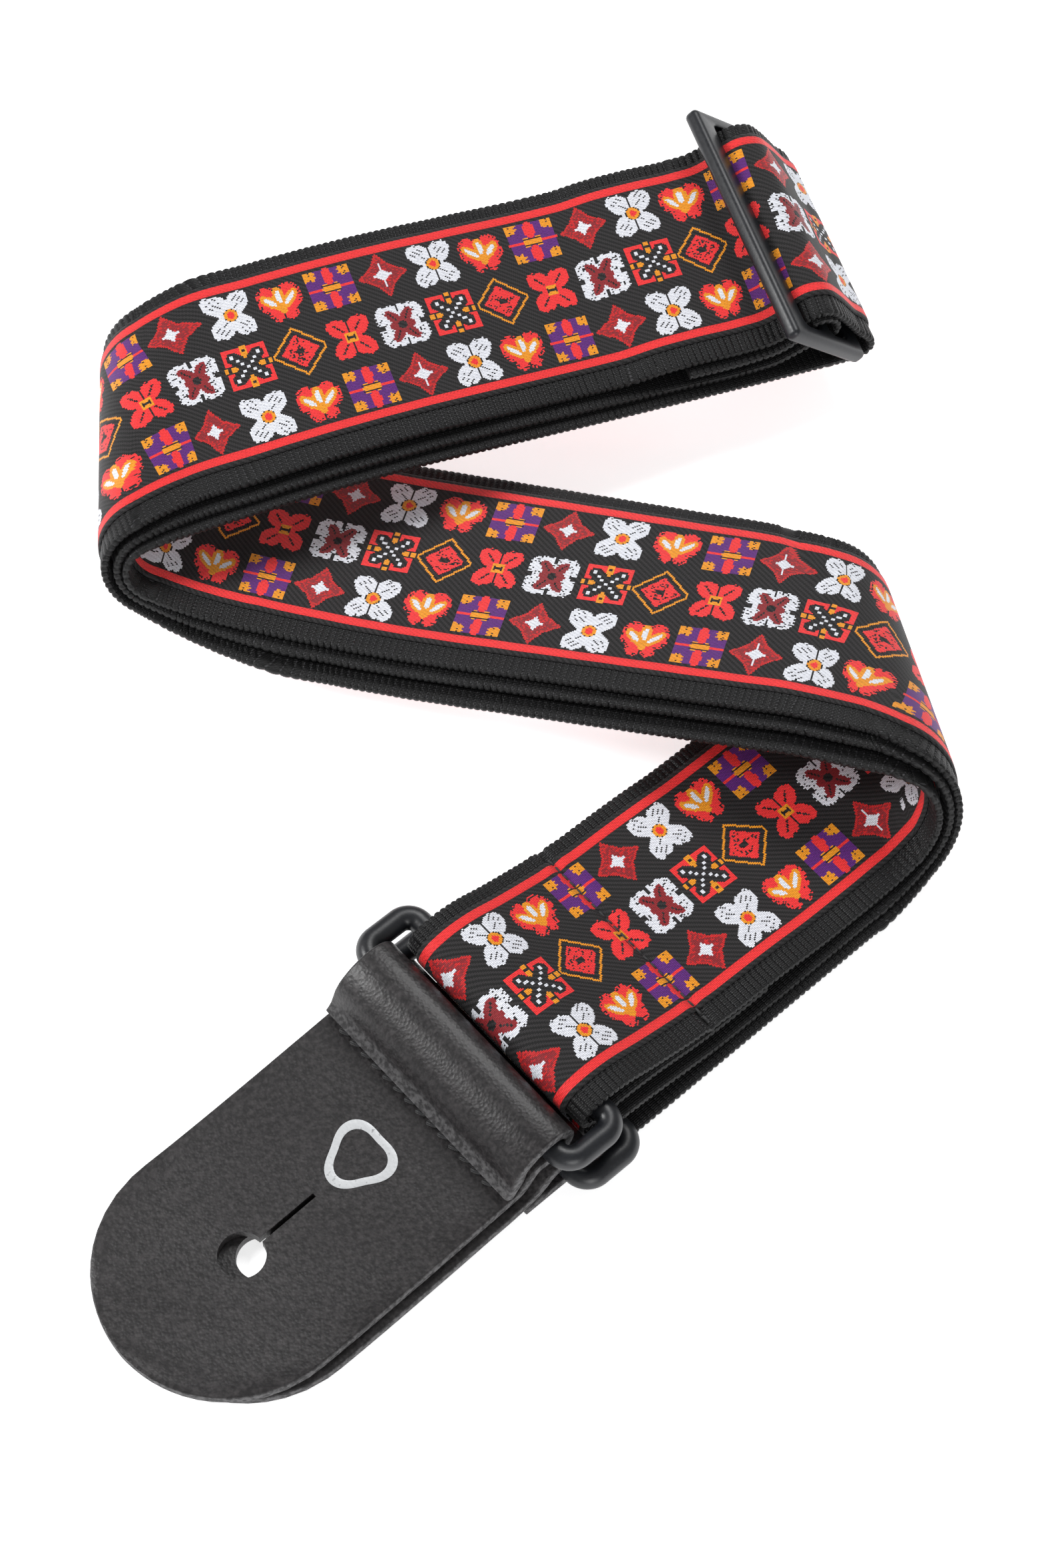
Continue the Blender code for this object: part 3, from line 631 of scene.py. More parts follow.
def cutButtonHole(piece, upper):
    above, through = 4, 0.04  # the cutters' height over the ground, and their depth in metres
    at = leatherRule(leather["holeFromBar"], above, 0, upper)[0]
    pick()
    bpy.ops.mesh.primitive_cylinder_add(vertices=48, radius=leather["hole"] * 0.001, depth=through,
                                        location=inMetres(at))
    cutWith(piece, bpy.context.object)
    middle = leather["holeFromBar"] - leather["hole"] - leather["slit"] / 2 + 0.5
    pick()
    bpy.ops.mesh.primitive_cube_add(size=1, location=inMetres(leatherRule(middle, above, 0, upper)[0]))
    slit = bpy.context.object
    slit.rotation_euler.z = math.radians(azBottom)
    slit.scale = ((leather["slit"] + 1) * 0.001, leather["slitWide"] * 0.001, through)
    cutWith(piece, slit)


def leatherEnd(letter, finish):
    upper, tip = letter == "a", leather["tip"]
    base, rest = leatherPath(upper, tip)
    path = smoothPath(base, 1)[: len(tip)] + smoothPath(base[len(tip) - 1:] + rest[:1], 3)[1:-1]
    path += smoothPath(rest, 4)
    rows, raw, lay, walked, last = [], [], [], 0.0, None
    for i, (x, z, s) in enumerate(path):
        c, a, n = leatherRule(x, z, 180 - s, upper)
        walked += 0 if last is None else np.linalg.norm(c - last)
        last = c
        w = tipHalf(x) if i < len(tip) else leather["wide"] / 2
        puff = leather["puff"][letter] * max(0.0, n @ dirBottom) if i >= len(tip) + 8 else 0.0
        ring = leatherRing(w, i, puff)
        for v, h in ring:
            cut = abs(abs(v) - w) < 0.3 or i > len(path) - 2
            rows.append(c + a * v + n * h)
            raw.append(leather["rawEdge"] if cut else leather["rawEnd"] if i > len(path) - 7 else 0.0)
            lay.append((walked, v))
    faces = facesOut(rows, tubeFaces(len(path), len(ring)))
    piece = newPiece("end_" + letter + "_leather", rows, faces, lay, 50)
    layer = piece.data.attributes.new("raw", "FLOAT", "POINT")
    layer.data.foreach_set("value", np.array(raw, np.float32))
    cutButtonHole(piece, upper)
    return dress(piece, finish, "leather_" + letter)


def stitchRow(name, places, kind, finish, node):
    # one stitch is modelled, then copied to each place with its own mesh, and the row is joined
    long, thick = stitches[kind]["long"], stitches[kind]["thick"]
    pick()
    bpy.ops.mesh.primitive_uv_sphere_add(segments=10, ring_count=8, radius=0.001 * thick / 2)
    first = bpy.context.object
    for vertex in first.data.vertices:
        z = vertex.co.z
        vertex.co.z = z + math.copysign((long - thick) * 0.0005, z) if abs(z) > 1e-7 else z
    copies = []
    for at, along, normal in places:
        copy = first.copy()
        copy.data = first.data.copy()
        bpy.context.scene.collection.objects.link(copy)
        placeMesh(copy, at, np.cross(normal, along), normal, along)
        copies.append(copy)
    discard(first)
    pick(*copies[::-1])
    bpy.ops.object.join()
    row = bpy.context.object
    row.name = row.data.name = name
    bpy.ops.object.shade_smooth()
    return dress(row, finish, node)


def leatherStitches(letter, finish):
    upper = letter == "a"
    sign, proud = (1, 0.95) if upper else (-1, 0.12)
    row, places = stitches["leather"], []
    c, a, n = leatherTop(leather["step"] + row["pastStep"], upper)
    for v in np.arange(-row["half"], row["half"] + 0.1, row["pitch"]):
        at = c + a * v + n * sign * (leather["thick"] / 2 + proud)
        slant = a * 0.92 - dirBottom * 0.38
        places.append((at, slant / np.linalg.norm(slant), n * sign))
    node = "leather_" + letter + "_stitches"
    return stitchRow("end_" + letter + "_stitches", places, "leather", finish, node)


def seamStitches(finish):
    c, a, n = seamRule
    row, places = stitches["seam"], []
    for k, v in enumerate(np.arange(row["from"], row["to"], row["pitch"])):
        along = a + np.cross(a, n) * row["wander"] * math.sin(2.3 * k)
        places.append((c + a * v + n * 0.42, along / np.linalg.norm(along), n))
    return stitchRow("seam_stitches", places, "seam", finish, "strap_seam")


# a rounded three-cornered outline; each ring of it is a scale and a height over the leather
foil = {
    "radius": 6.6, "corner": 0.13, "fromBar": 25.6, "around": 72, "over": 0.03,
    "rings": ((1.0, -0.1), (1.0, 0.07), (0.97, 0.09), (0.77, 0.09), (0.74, 0.07), (0.74, -0.1)),
}


def foilMark(finish):
    points, count, rings = [], foil["around"], len(foil["rings"])
    for scale, h in foil["rings"]:
        for i in range(count):
            a = 2 * math.pi * i / count
            r = foil["radius"] * (1 + foil["corner"] * math.cos(3 * a)) * scale
            c, across, n = leatherTop(foil["fromBar"] + r * math.cos(a), True)
            points.append(c + across * r * math.sin(a) + n * (leather["thick"] / 2 + foil["over"] + h))
    k, i = np.meshgrid(np.arange(rings), np.arange(count), indexing="ij")
    a, b = k * count + i, k * count + (i + 1) % count
    c, d = ((k + 1) % rings) * count + (i + 1) % count, ((k + 1) % rings) * count + i
    faces = facesOut(points, np.stack([a, b, c, d], -1).reshape(-1, 4).tolist())
    return dress(newPiece("foil_plectrum", points, faces), finish, "foil_mark")


loops = {"round": 3.2, "side": {"a": -0.3, "b": -2.2}, "around": 64, "bar": 24}


def buildLoop(letter, finish):
    # a ring is made round, then its halves are drawn apart, first along the strap and then across it
    upper = letter == "a"
    shift = 0 if upper else hardware["loopShift"]
    right = loopBar(0, barAz if upper else barBz, shift)
    left = loopBar(hardware["spacing"], leftAz if upper else leftBz, shift)
    along = (right - left) / np.linalg.norm(right - left)
    at = (right + left) / 2 + sideBottom * loops["side"][letter]
    reach = ((hardware["spacing"] / 2 - loops["round"]) * 0.001,
             (hardware["inner"] / 2 + hardware["barRadius"] - loops["round"]) * 0.001)
    pick()
    bpy.ops.mesh.primitive_torus_add(major_radius=loops["round"] * 0.001,
                                     minor_radius=hardware["barRadius"] * 0.001,
                                     major_segments=loops["around"], minor_segments=loops["bar"],
                                     rotation=(0, 0, math.pi / loops["around"]))
    ring = bpy.context.object
    bpy.ops.object.transform_apply(rotation=True)
    for axis, sign in ((0, -1), (0, 1), (1, -1), (1, 1)):
        bpy.ops.object.mode_set(mode="EDIT")
        bpy.ops.mesh.select_all(action="DESELECT")
        bpy.ops.object.mode_set(mode="OBJECT")
        for vertex in ring.data.vertices:
            vertex.select = vertex.co[axis] * sign > 0
        bpy.ops.object.mode_set(mode="EDIT")
        move = Vector((0, 0, 0))
        move[axis] = reach[axis] * sign
        bpy.ops.transform.translate(value=move)
        bpy.ops.object.mode_set(mode="OBJECT")
    bpy.ops.object.shade_smooth()
    ring.name = ring.data.name = "loop_" + letter + "_ring"
    placeMesh(ring, at, along, sideBottom, np.cross(along, sideBottom))
    return dress(ring, finish, "loop_" + letter)


# how far the buckle's edges are rounded: the plate, its slots' corners and the slots' rims
buckle = {"plateSoft": 1.25, "slotSoft": 1.5, "rimSoft": 0.6, "sharpOver": 60, "smoothUnder": 40}


def softBlock(size, soft, onlyUpright=False):
    # a block with rounded edges; onlyUpright rounds the four standing edges alone
    pick()
    bpy.ops.mesh.primitive_cube_add(size=1)
    block = bpy.context.object
    block.scale = [c * 0.001 for c in size]
    bpy.ops.object.transform_apply(scale=True)
    bpy.ops.object.mode_set(mode="EDIT")
    bpy.ops.mesh.select_mode(type="EDGE")
    bpy.ops.mesh.select_all(action="DESELECT")
    bpy.ops.object.mode_set(mode="OBJECT")
    for edge in block.data.edges:
        p, q = (block.data.vertices[i].co for i in edge.vertices)
        edge.select = abs((p - q).z) > 1e-6 or not onlyUpright
    bpy.ops.object.mode_set(mode="EDIT")
    bpy.ops.mesh.bevel(offset=soft * 0.001, segments=5, profile=0.5)
    bpy.ops.object.mode_set(mode="OBJECT")
    return block


def buildSlider(finish):
    long, wide, thick = hardware["sliderSize"]
    slot = (long - 2 * hardware["sliderBar"] - hardware["sliderMid"]) / 2
    plate = softBlock((long, wide, thick), buckle["plateSoft"])
    for sign in (-1, 1):
        hole = softBlock((slot, hardware["slotWide"], 20), buckle["slotSoft"], True)
        hole.data.transform(Matrix.Translation((sign * (hardware["sliderMid"] + slot) * 0.0005, 0, 0)))
        cutWith(plate, hole)
    soft = plate.modifiers.new("soft", "BEVEL")
    soft.width, soft.segments, soft.limit_method = buckle["rimSoft"] * 0.001, 3, "ANGLE"
    soft.angle_limit = math.radians(buckle["sharpOver"])
    pick(plate)
    bpy.ops.object.modifier_apply(modifier=soft.name)
    tilt = math.radians(hardware["sliderTilt"])
    a = endAlong * math.cos(tilt) + endNormal * math.sin(tilt)
    at = endAt + endNormal * hardware["sliderLift"] + endAcross * hardware["sliderSide"]
    placeMesh(plate, at, a, endAcross, np.cross(a, endAcross))
    bpy.ops.object.shade_smooth_by_angle(angle=math.radians(buckle["smoothUnder"]))
    plate.name = plate.data.name = "buckle"
    return dress(plate, finish, "slider")


# a number in a node tree, so that a pattern reads as sums instead of wires
class Num:
    def __init__(self, socket):
        self.socket = socket

    def op(self, kind, *others, clamp=False):
        return mathNode(self.socket.id_data, kind, (self,) + others, clamp)

    def __rsub__(self, other):
        return mathNode(self.socket.id_data, "SUBTRACT", (other, self))

    def clear(self):
        return self.op("MULTIPLY", 1.0, clamp=True)


def mathNode(tree, kind, items, clamp=False):
    node = tree.nodes.new("ShaderNodeMath")
    node.operation, node.use_clamp = kind, clamp
    for item, socket in zip(items, node.inputs):
        feed(item, socket)
    return Num(node.outputs[0])


def mathStep(kind):
    def step(number, *others):
        return number.op(kind, *others)

    return step


# "and" multiplies two masks and "or" takes the greater; rest is what is left after the whole number
mathSteps = {
    "__add__": "ADD", "__radd__": "ADD", "__sub__": "SUBTRACT", "__mul__": "MULTIPLY", "__rmul__": "MULTIPLY",
    "__truediv__": "DIVIDE", "__lt__": "LESS_THAN", "__gt__": "GREATER_THAN", "__and__": "MULTIPLY",
    "__or__": "MAXIMUM", "size": "ABSOLUTE", "floor": "FLOOR", "rest": "FRACT", "least": "MINIMUM",
    "most": "MAXIMUM", "power": "POWER", "wave": "SINE",
}
for label, kind in mathSteps.items():
    setattr(Num, label, mathStep(kind))


def feed(item, socket):
    # a number or a colour is set on the socket, and anything else is wired to it
    item = item.socket if isinstance(item, Num) else item
    if isinstance(item, (int, float, tuple)):
        socket.default_value = item
    else:
        socket.id_data.links.new(item, socket)


def newGroup(name, inputs, outputs):
    # an input with no value is a place on the piece
    tree = bpy.data.node_groups.new(name, "ShaderNodeTree")
    for label, value in inputs.items():
        kind = "NodeSocketVector" if value is None else "NodeSocketFloat"
        socket = tree.interface.new_socket(name=label, in_out="INPUT", socket_type=kind)
        if value is not None:
            socket.default_value = value
    for label in outputs:
        kind = "NodeSocketColor" if label == "Color" else "NodeSocketFloat"
        tree.interface.new_socket(name=label, in_out="OUTPUT", socket_type=kind)
    entry, out = tree.nodes.new("NodeGroupInput"), tree.nodes.new("NodeGroupOutput")
    return tree, entry.outputs, out.inputs


def splitLay(lay):
    split = lay.id_data.nodes.new("ShaderNodeSeparateXYZ")
    feed(lay, split.inputs[0])
    return Num(split.outputs[0]), Num(split.outputs[1])


def mixColour(tree, amount, a, b, kind="MIX"):
    node = tree.nodes.new("ShaderNodeMix")
    node.data_type, node.blend_type = "RGBA", kind
    for k, item in ((0, amount), (6, a), (7, b)):
        feed(item, node.inputs[k])
    return node.outputs[2]


def noise(tree, vector, scale, detail=3.0, roughness=0.5):
    node = tree.nodes.new("ShaderNodeTexNoise")
    for label, item in (("Vector", vector), ("Scale", scale), ("Detail", detail), ("Roughness", roughness)):
        feed(item, node.inputs[label])
    return Num(node.outputs["Fac"])


def linear(r, g, b):
    def one(c):
        c = c / 255
        return c / 12.92 if c <= 0.04045 else ((c + 0.055) / 1.055) ** 2.4

    return (one(r), one(g), one(b), 1.0)


# the ribbon's threads, in the order of their code numbers, and the size of one woven thread
inks = {
    "ground": linear(26, 24, 25), "red": linear(240, 50, 52), "maroon": linear(140, 34, 40),
    "white": linear(226, 228, 236), "orange": linear(236, 150, 28), "purple": linear(92, 34, 118),
    "deepRed": linear(198, 34, 36),
}
thread = {"wide": 0.30, "long": 0.36, "figuredHalf": 18.0, "borderFrom": 18.2, "borderTo": 20.1}
codeSpan = 8.0


# the fine weave that every cloth face shares: thread height, a mask of twill lines, and mottling
def makeClothGroup():
    inputs = {"Lay": None, "Across": thread["wide"], "Along": thread["long"]}
    tree, given, result = newGroup("cloth weave", inputs, ("Height", "Twill", "Mottle"))
    u, v = splitLay(given["Lay"])
    overU, overV = u / given["Along"], v / given["Across"]
    ridge = (overV * math.pi).wave().size().power(0.6)
    beat = (overU * math.pi + overV.floor() * (math.pi / 2)).wave().size().power(0.7)
    feed(ridge * 0.55 + beat * 0.45, result["Height"])
    feed(((overU.floor() + overV.floor()) / 4).rest() > 0.49, result["Twill"])
    feed(noise(tree, given["Lay"], 0.9, 4.0), result["Mottle"])
    return tree


# small grain with broad patches, for leather and moulded plastic
def makeGrainGroup():
    tree, given, result = newGroup("fine grain", {"Place": None, "Scale": 900.0},
                                   ("Height", "Speckle", "Patches"))
    cells = tree.nodes.new("ShaderNodeTexVoronoi")
    feed(given["Place"], cells.inputs["Vector"])
    feed(given["Scale"], cells.inputs["Scale"])
    fine = noise(tree, given["Place"], Num(given["Scale"]) * 0.7, 6.0)
    feed(Num(cells.outputs["Distance"]) * 0.6 + fine * 0.6, result["Height"])
    feed(fine, result["Speckle"])
    feed(noise(tree, given["Place"], 60.0, 4.0, 0.6), result["Patches"])
    return tree


# worn and bright where the surface turns over an edge
def makeWearGroup():
    tree, given, result = newGroup("edge wear", {"Speckle": 0.5, "Amount": 1.0}, ("Wear",))
    edge = Num(tree.nodes.new("ShaderNodeNewGeometry").outputs["Pointiness"])
    worn = ((edge - 0.515) * 9).clear() * ((Num(given["Speckle"]) - 0.35) * 3).clear()
    feed(worn.op("MULTIPLY", given["Amount"], clamp=True), result["Wear"])
    return tree


clothGroup, grainGroup, wearGroup = makeClothGroup(), makeGrainGroup(), makeWearGroup()


# the jacquard figures: four pairs that repeat along the ribbon, one for the outer rows and one for the middle
def makeFigureGroup():
    tree, given, result = newGroup("ribbon figures", {"Lay": None}, ("Color", "Raised", "Lit"))
    codes = {name: float(k) for k, name in enumerate(inks)}
    rawU, rawV = splitLay(given["Lay"])
    threadU, threadV = (rawU / thread["long"]).floor(), (rawV / thread["wide"]).floor()
    u, v = (threadU + 0.5) * thread["long"], (threadV + 0.5) * thread["wide"]
    dither = ((threadU + threadV) * 0.5).rest() > 0.25
    # scattered single threads, the same each time from the thread's own number
    chance = (((threadU * 12.9898 + threadV * 78.233) * 0.731).wave() * 437.585).rest()
    ragged = ((threadV + threadU * 0.5) / 3).rest() * 0.55
    column = (u / weave["column"] + 0.5).floor()
    kind = column - (column / 4).floor() * 4
    row = (v / weave["row"] + 0.5).floor().most(-1.0).least(1.0)
    outer = row.size() > 0.5
    # places in one figure's square: along, across, and along its two diagonals
    x, y = u - column * weave["column"], v - row * weave["row"]
    a, b = x.size(), y.size()
    big, small, diamond = a.most(b), a.least(b), a + b
    p, q = ((x + y) * 0.7071).size(), ((x - y) * 0.7071).size()
    far, near = p.most(q), p.least(q)
    # petals lean towards the strap's sides, so the gap along the strap is the wider one
    leafFar, leafNear = a * 0.62 + b * 0.785, (a * 0.785 - b * 0.62).size()

    def paint(ink, *layers):
        for mask, name in layers:
            node = tree.nodes.new("ShaderNodeMix")
            for k, item in ((0, mask), (2, ink), (3, codes[name])):
                feed(item, node.inputs[k])
            ink = Num(node.outputs[0])
        return ink

    def oval(alongAxis, acrossAxis, middle, longHalf, wideHalf):
        d, e = (alongAxis - middle) / longHalf, acrossAxis / wideHalf
        return (d * d + e * e) < 1.0

    def between(number, low, high):
        return (number > low) & (number < high)

    def close(number, middle, within):
        return (number - middle).size() < within

    def quilt():  # purple square with orange corners, two red ovals and a thin red bar
        corner = (big < 4.85) & (small + ragged > 2.75) & (big > 2.9)
        return paint(
            0.0, (big < 4.85, "purple"), (corner, "orange"),
            (corner & close(a, 3.7, 0.2) & ((b - 3.7).size() > 0.35) & dither, "ground"),
            ((b < 0.36) & (a < 4.95), "red"), (oval(b, a, 3.0, 2.25, 1.05), "red"),
            (oval(a, b, 1.15, 0.75, 1.35), "orange"), (oval(a, b, 0.0, 0.95, 0.75), "orange"),
            (close(b, 0.68, 0.16) & (a < 1.9), "ground"))

    def petal():  # red flower of four leaning petals
        return paint(
            0.0, (oval(leafFar, leafNear, 3.3, 2.75, 2.15) & (big + ragged < 5.0), "red"),
            ((leafNear < 0.2) & between(leafFar, 1.9, 4.6), "ground"), (a < 0.16, "ground"),
            ((a < 1.25) & (b < 1.2), "orange"),
            ((a < 0.75) & (b < 0.22) | close(a, 0.75, 0.16) & (b < 0.7), "ground"))

    def gem():  # dark red diamond with hollow sides and a white star
        hollow = diamond + small * 0.5
        return paint(
            0.0, (hollow < 5.5, "deepRed"), ((hollow < 4.75) & (chance < 0.7), "maroon"),
            ((a.power(0.5) + b.power(0.5)) < 1.74, "white"))

    def snow():  # white tile with a maroon flower that crosses it
        crossFar, crossNear = a * 0.56 + b * 0.83, (a * 0.83 - b * 0.56).size()
        vein = ((p - q).size() > 2.2) & close(far, 4.1, 0.9) & (near < 0.2) & dither
        return paint(
            0.0, ((big + ragged * 0.6 < 5.1) & (diamond < 8.7), "white"),
            ((b < 0.7) & (a > 3.9) | (a < 0.3) & (b > 3.4), "ground"), (vein, "ground"),
            ((big > 2.4) & (chance < 0.09), "ground"),
            (oval(crossFar, crossNear, 2.3, 2.35, 1.15), "maroon"),
            (oval(a, b, 1.2, 1.5, 1.1), "maroon"),
            ((crossNear < 0.16) & between(crossFar, 1.6, 4.0), "ground"),
            (oval(a, b, 0.0, 0.85, 1.0), "ground"))

    def daisy():  # white flower with dark dotted veins and an orange eye
        veins = (leafNear < 0.2) & between(leafFar, 2.0, 5.2) & dither
        sideVeins = close(leafNear, 1.0, 0.18) & between(leafFar, 3.4, 5.2) & dither
        round2 = x * x + y * y
        return paint(
            0.0, (oval(leafFar, leafNear, 3.5, 3.0, 2.3) & (big + ragged < 5.35), "white"),
            (veins, "ground"), (sideVeins, "ground"), (a < 0.16, "ground"), (round2 < 2.6, "ground"),
            (round2 < 2.0, "orange"), (round2 < 0.6, "red"))

    def lace():  # red square laced with a black cross and white knots
        arms = between(big, 1.6, 5.0)
        knot = ((far / 1.32 + 0.5).rest() - 0.5).size()
        return paint(
            0.0, (big < 4.85, "red"), ((small < 0.78) & arms, "ground"),
            ((small < 0.6) & arms, "orange"), ((small < 0.5) & close(big, 3.9, 0.3), "ground"),
            ((near < 1.45) & (far < 5.1) & (big < 4.0), "ground"),
            ((near * 0.75 + knot < 0.40) & (far < 4.7), "white"))

    def tulip():  # red lobes, two above and two below, and three orange petals with white hearts
        cup = oval(a, y - 0.9, 2.25, 2.55, 3.35) | oval(a, y + 2.5, 1.35, 1.75, 2.2)
        inner = oval(a, y - 0.9, 2.25, 1.9, 2.7) | oval(a, y + 2.5, 1.35, 1.1, 1.5)
        leanFar, leanNear = a * 0.68 + (y + 1.9) * 0.73, (a * 0.73 - (y + 1.9) * 0.68).size()
        return paint(
            0.0, (cup, "red"), ((inner < 0.5) & cup & (chance < 0.34), "ground"),
            ((a < 0.16) & (y < -1.2), "ground"), (oval(leanFar, leanNear, 2.9, 2.6, 1.15), "orange"),
            (oval(y - 1.2, x, 0.0, 2.5, 1.25), "orange"), (oval(y + 1.8, x, 0.0, 1.1, 0.9), "orange"),
            (oval(leanFar, leanNear, 3.1, 1.7, 0.5), "white"),
            (oval(y - 1.2, x, 0.0, 1.6, 0.55), "white"))

    def kite():  # red diamond inside a thin orange one
        return paint(
            0.0, (close(diamond, 5.75, 0.33), "orange"), (diamond < 4.05, "red"),
            ((diamond < 3.4) & (chance < 0.2), "ground"), (oval(a, b, 0.0, 0.95, 0.7), "ground"))

    pairs, ink = ((quilt, petal), (gem, snow), (daisy, lace), (tulip, kite)), 0.0
    for k, (outerFigure, middleFigure) in enumerate(pairs):
        ink = (outerFigure() * outer + middleFigure() * (1.0 - outer)) * close(kind, float(k), 0.5) + ink
    line = rawV.size()
    braid = (((rawU + line * 0.8) / 0.75).rest() - 0.5).size()
    border = between(line, thread["borderFrom"], thread["borderTo"])
    ink = paint(ink * (v.size() < thread["figuredHalf"]), (border, "red"),
                (border & (braid > 0.4) & ((line - 19.25).size() > 0.5), "deepRed"))
    ramp = tree.nodes.new("ShaderNodeValToRGB")
    ramp.color_ramp.interpolation = "CONSTANT"
    steps = ramp.color_ramp.elements
    steps.remove(steps[1])
    steps[0].position, steps[0].color = 0.0, inks["ground"]
    for name in list(inks)[1:]:
        steps.new((codes[name] - 0.5) / codeSpan).color = inks[name]
    feed(ink / codeSpan, ramp.inputs[0])
    feed(ramp.outputs[0], result["Color"])
    feed(ink > 0.5, result["Raised"])
    # satin floats: each thread catches the light along its crown
    crown = ((rawV / thread["wide"]) * math.pi).wave().size()
    beat = ((rawU / (thread["long"] * 4) + (threadV * 0.37)).rest() * math.pi).wave().size()
    feed(crown * 0.55 + beat * 0.45, result["Lit"])
    return tree


def startMaterial(name, sockets):
    material = bpy.data.materials.new(name)
    material.use_nodes = True
    tree = material.node_tree
    shader = tree.nodes["Principled BSDF"].inputs
    for label, value in sockets.items():
        shader[label].default_value = value
    return material, tree, shader


def useGroup(tree, group, entry, source, **values):
    node = tree.nodes.new("ShaderNodeGroup")
    node.node_tree = group
    feed(source, node.inputs[entry])
    for label, value in values.items():
        node.inputs[label].default_value = value
    return {out.name: Num(out) for out in node.outputs}


def coat(tree, shader, colour, roughness, height, distance, strength=1.0):
    feed(colour, shader["Base Color"])
    feed(roughness, shader["Roughness"])
    bump = tree.nodes.new("ShaderNodeBump")
    for label, item in (("Distance", distance * 0.001), ("Strength", strength), ("Height", height)):
        feed(item, bump.inputs[label])
    feed(bump.outputs[0], shader["Normal"])


def layInMillimetres(tree):
    lay = tree.nodes.new("ShaderNodeUVMap")
    lay.uv_map = "lay"
    grow = tree.nodes.new("ShaderNodeVectorMath")
    grow.operation = "SCALE"
    grow.inputs["Scale"].default_value = 1000.0
    feed(lay.outputs[0], grow.inputs[0])
    return grow.outputs[0]


def objectPlace(tree):
    return tree.nodes.new("ShaderNodeTexCoord").outputs["Object"]


def ribbonMaterial():
    material, tree, shader = startMaterial("patterned ribbon", {
        "Sheen Weight": 0.12, "Sheen Roughness": 0.4, "Specular IOR Level": 0.35})
    lay = layInMillimetres(tree)
    figures = useGroup(tree, makeFigureGroup(), "Lay", lay)
    cloth = useGroup(tree, clothGroup, "Lay", lay, Across=thread["wide"], Along=thread["long"])
    raised, lit = figures["Raised"], figures["Lit"]
    shade = (lit * 0.62 + 0.62) * (cloth["Mottle"] * 0.35 + 0.83)
    figure = mixColour(tree, 1.0, figures["Color"], shade, "MULTIPLY")
    groundShade = cloth["Twill"] * 1.75 + 0.12 + lit * 0.3
    ground = mixColour(tree, 1.0, inks["ground"], groundShade, "MULTIPLY")
    height = raised * 0.55 + lit * 0.4 * raised + cloth["Height"] * 0.3
    coat(tree, shader, mixColour(tree, raised, ground, figure), 0.68 - raised * 0.16, height, 0.22)
    return material


def webbingMaterial():
    material, tree, shader = startMaterial("black webbing", {
        "Sheen Weight": 0.06, "Sheen Roughness": 0.35, "Specular IOR Level": 0.3})
    lay = layInMillimetres(tree)
    cloth = useGroup(tree, clothGroup, "Lay", lay, Across=0.42, Along=0.9)
    u, v = splitLay(lay)
    tone = mixColour(tree, cloth["Mottle"], linear(15, 14, 15), linear(30, 29, 30))
    # painted shade in the weave's hollows: darker where the threads lie low
    tone = mixColour(tree, cloth["Height"] * 0.35, linear(12, 12, 13), tone)
    # painted shade between the ribs, darkest in the grooves, with the twist of a paler thread in the deepest
    # part
    groove = 1.0 - (u * (math.pi / weave["rib"])).wave().size()
    tone = mixColour(tree, ((groove - 0.3) * 3).clear(), tone, linear(3, 3, 3))
    twist = (v * 7.0).wave() * 0.5 + 0.5
    tone = mixColour(tree, ((groove - 0.72) * 5).clear() * twist, tone, linear(66, 65, 68))
    coat(tree, shader, tone, 0.60 - cloth["Height"] * 0.18, cloth["Height"], 0.12)
    return material


def leatherMaterial():
    material, tree, shader = startMaterial("charcoal leather", {"Specular IOR Level": 0.45})
    grain = useGroup(tree, grainGroup, "Place", objectPlace(tree), Scale=1500.0)
    speckle = grain["Speckle"]
    wear = useGroup(tree, wearGroup, "Speckle", speckle, Amount=0.5)["Wear"]
    raw = tree.nodes.new("ShaderNodeAttribute")
    raw.attribute_name = "raw"
    rawEdge = Num(raw.outputs["Fac"])
    skin = mixColour(tree, grain["Patches"], linear(20, 18, 19), linear(38, 36, 37))
    skin = mixColour(tree, ((speckle - 0.42) * 2.2).clear() * 0.6, skin, linear(76, 72, 73))
    skin = mixColour(tree, wear * 0.5, skin, linear(96, 94, 94))
    fibre = mixColour(tree, ((speckle - 0.4) * 5).clear(), linear(46, 45, 46), linear(92, 91, 92))
    coat(tree, shader, mixColour(tree, rawEdge, skin, fibre), 0.33 + speckle * 0.16 + rawEdge * 0.35,
        grain["Height"] + rawEdge * speckle * 1.5, 0.10, 0.8)
    return material


def plasticMaterial():
    material, tree, shader = startMaterial("black plastic", {})
    grain = useGroup(tree, grainGroup, "Place", objectPlace(tree), Scale=2200.0)
    wear = useGroup(tree, wearGroup, "Speckle", grain["Speckle"], Amount=0.4)["Wear"]
    base = mixColour(tree, grain["Patches"], linear(12, 13, 15), linear(26, 28, 33))
    tone = mixColour(tree, wear, base, linear(88, 92, 102))
    coat(tree, shader, tone, 0.30 + grain["Speckle"] * 0.16, grain["Height"], 0.02, 0.6)
    return material


def threadMaterial():
    material, tree, shader = startMaterial("black thread", {"Sheen Weight": 0.2})
    strand = noise(tree, objectPlace(tree), 2600.0)
    coat(tree, shader, mixColour(tree, strand, linear(10, 10, 11), linear(38, 38, 40)), 0.55, strand, 0.08)
    return material


def foilMaterial():
    material, tree, shader = startMaterial("silver foil", {"Metallic": 0.55})
    grain = useGroup(tree, grainGroup, "Place", objectPlace(tree), Scale=1500.0)
    rubbed = ((grain["Speckle"] - 0.60) * 7).clear()
    tone = mixColour(tree, rubbed, linear(206, 208, 210), linear(120, 120, 122))
    coat(tree, shader, tone, 0.34 + grain["Speckle"] * 0.2, grain["Height"], 0.05, 0.6)
    return material


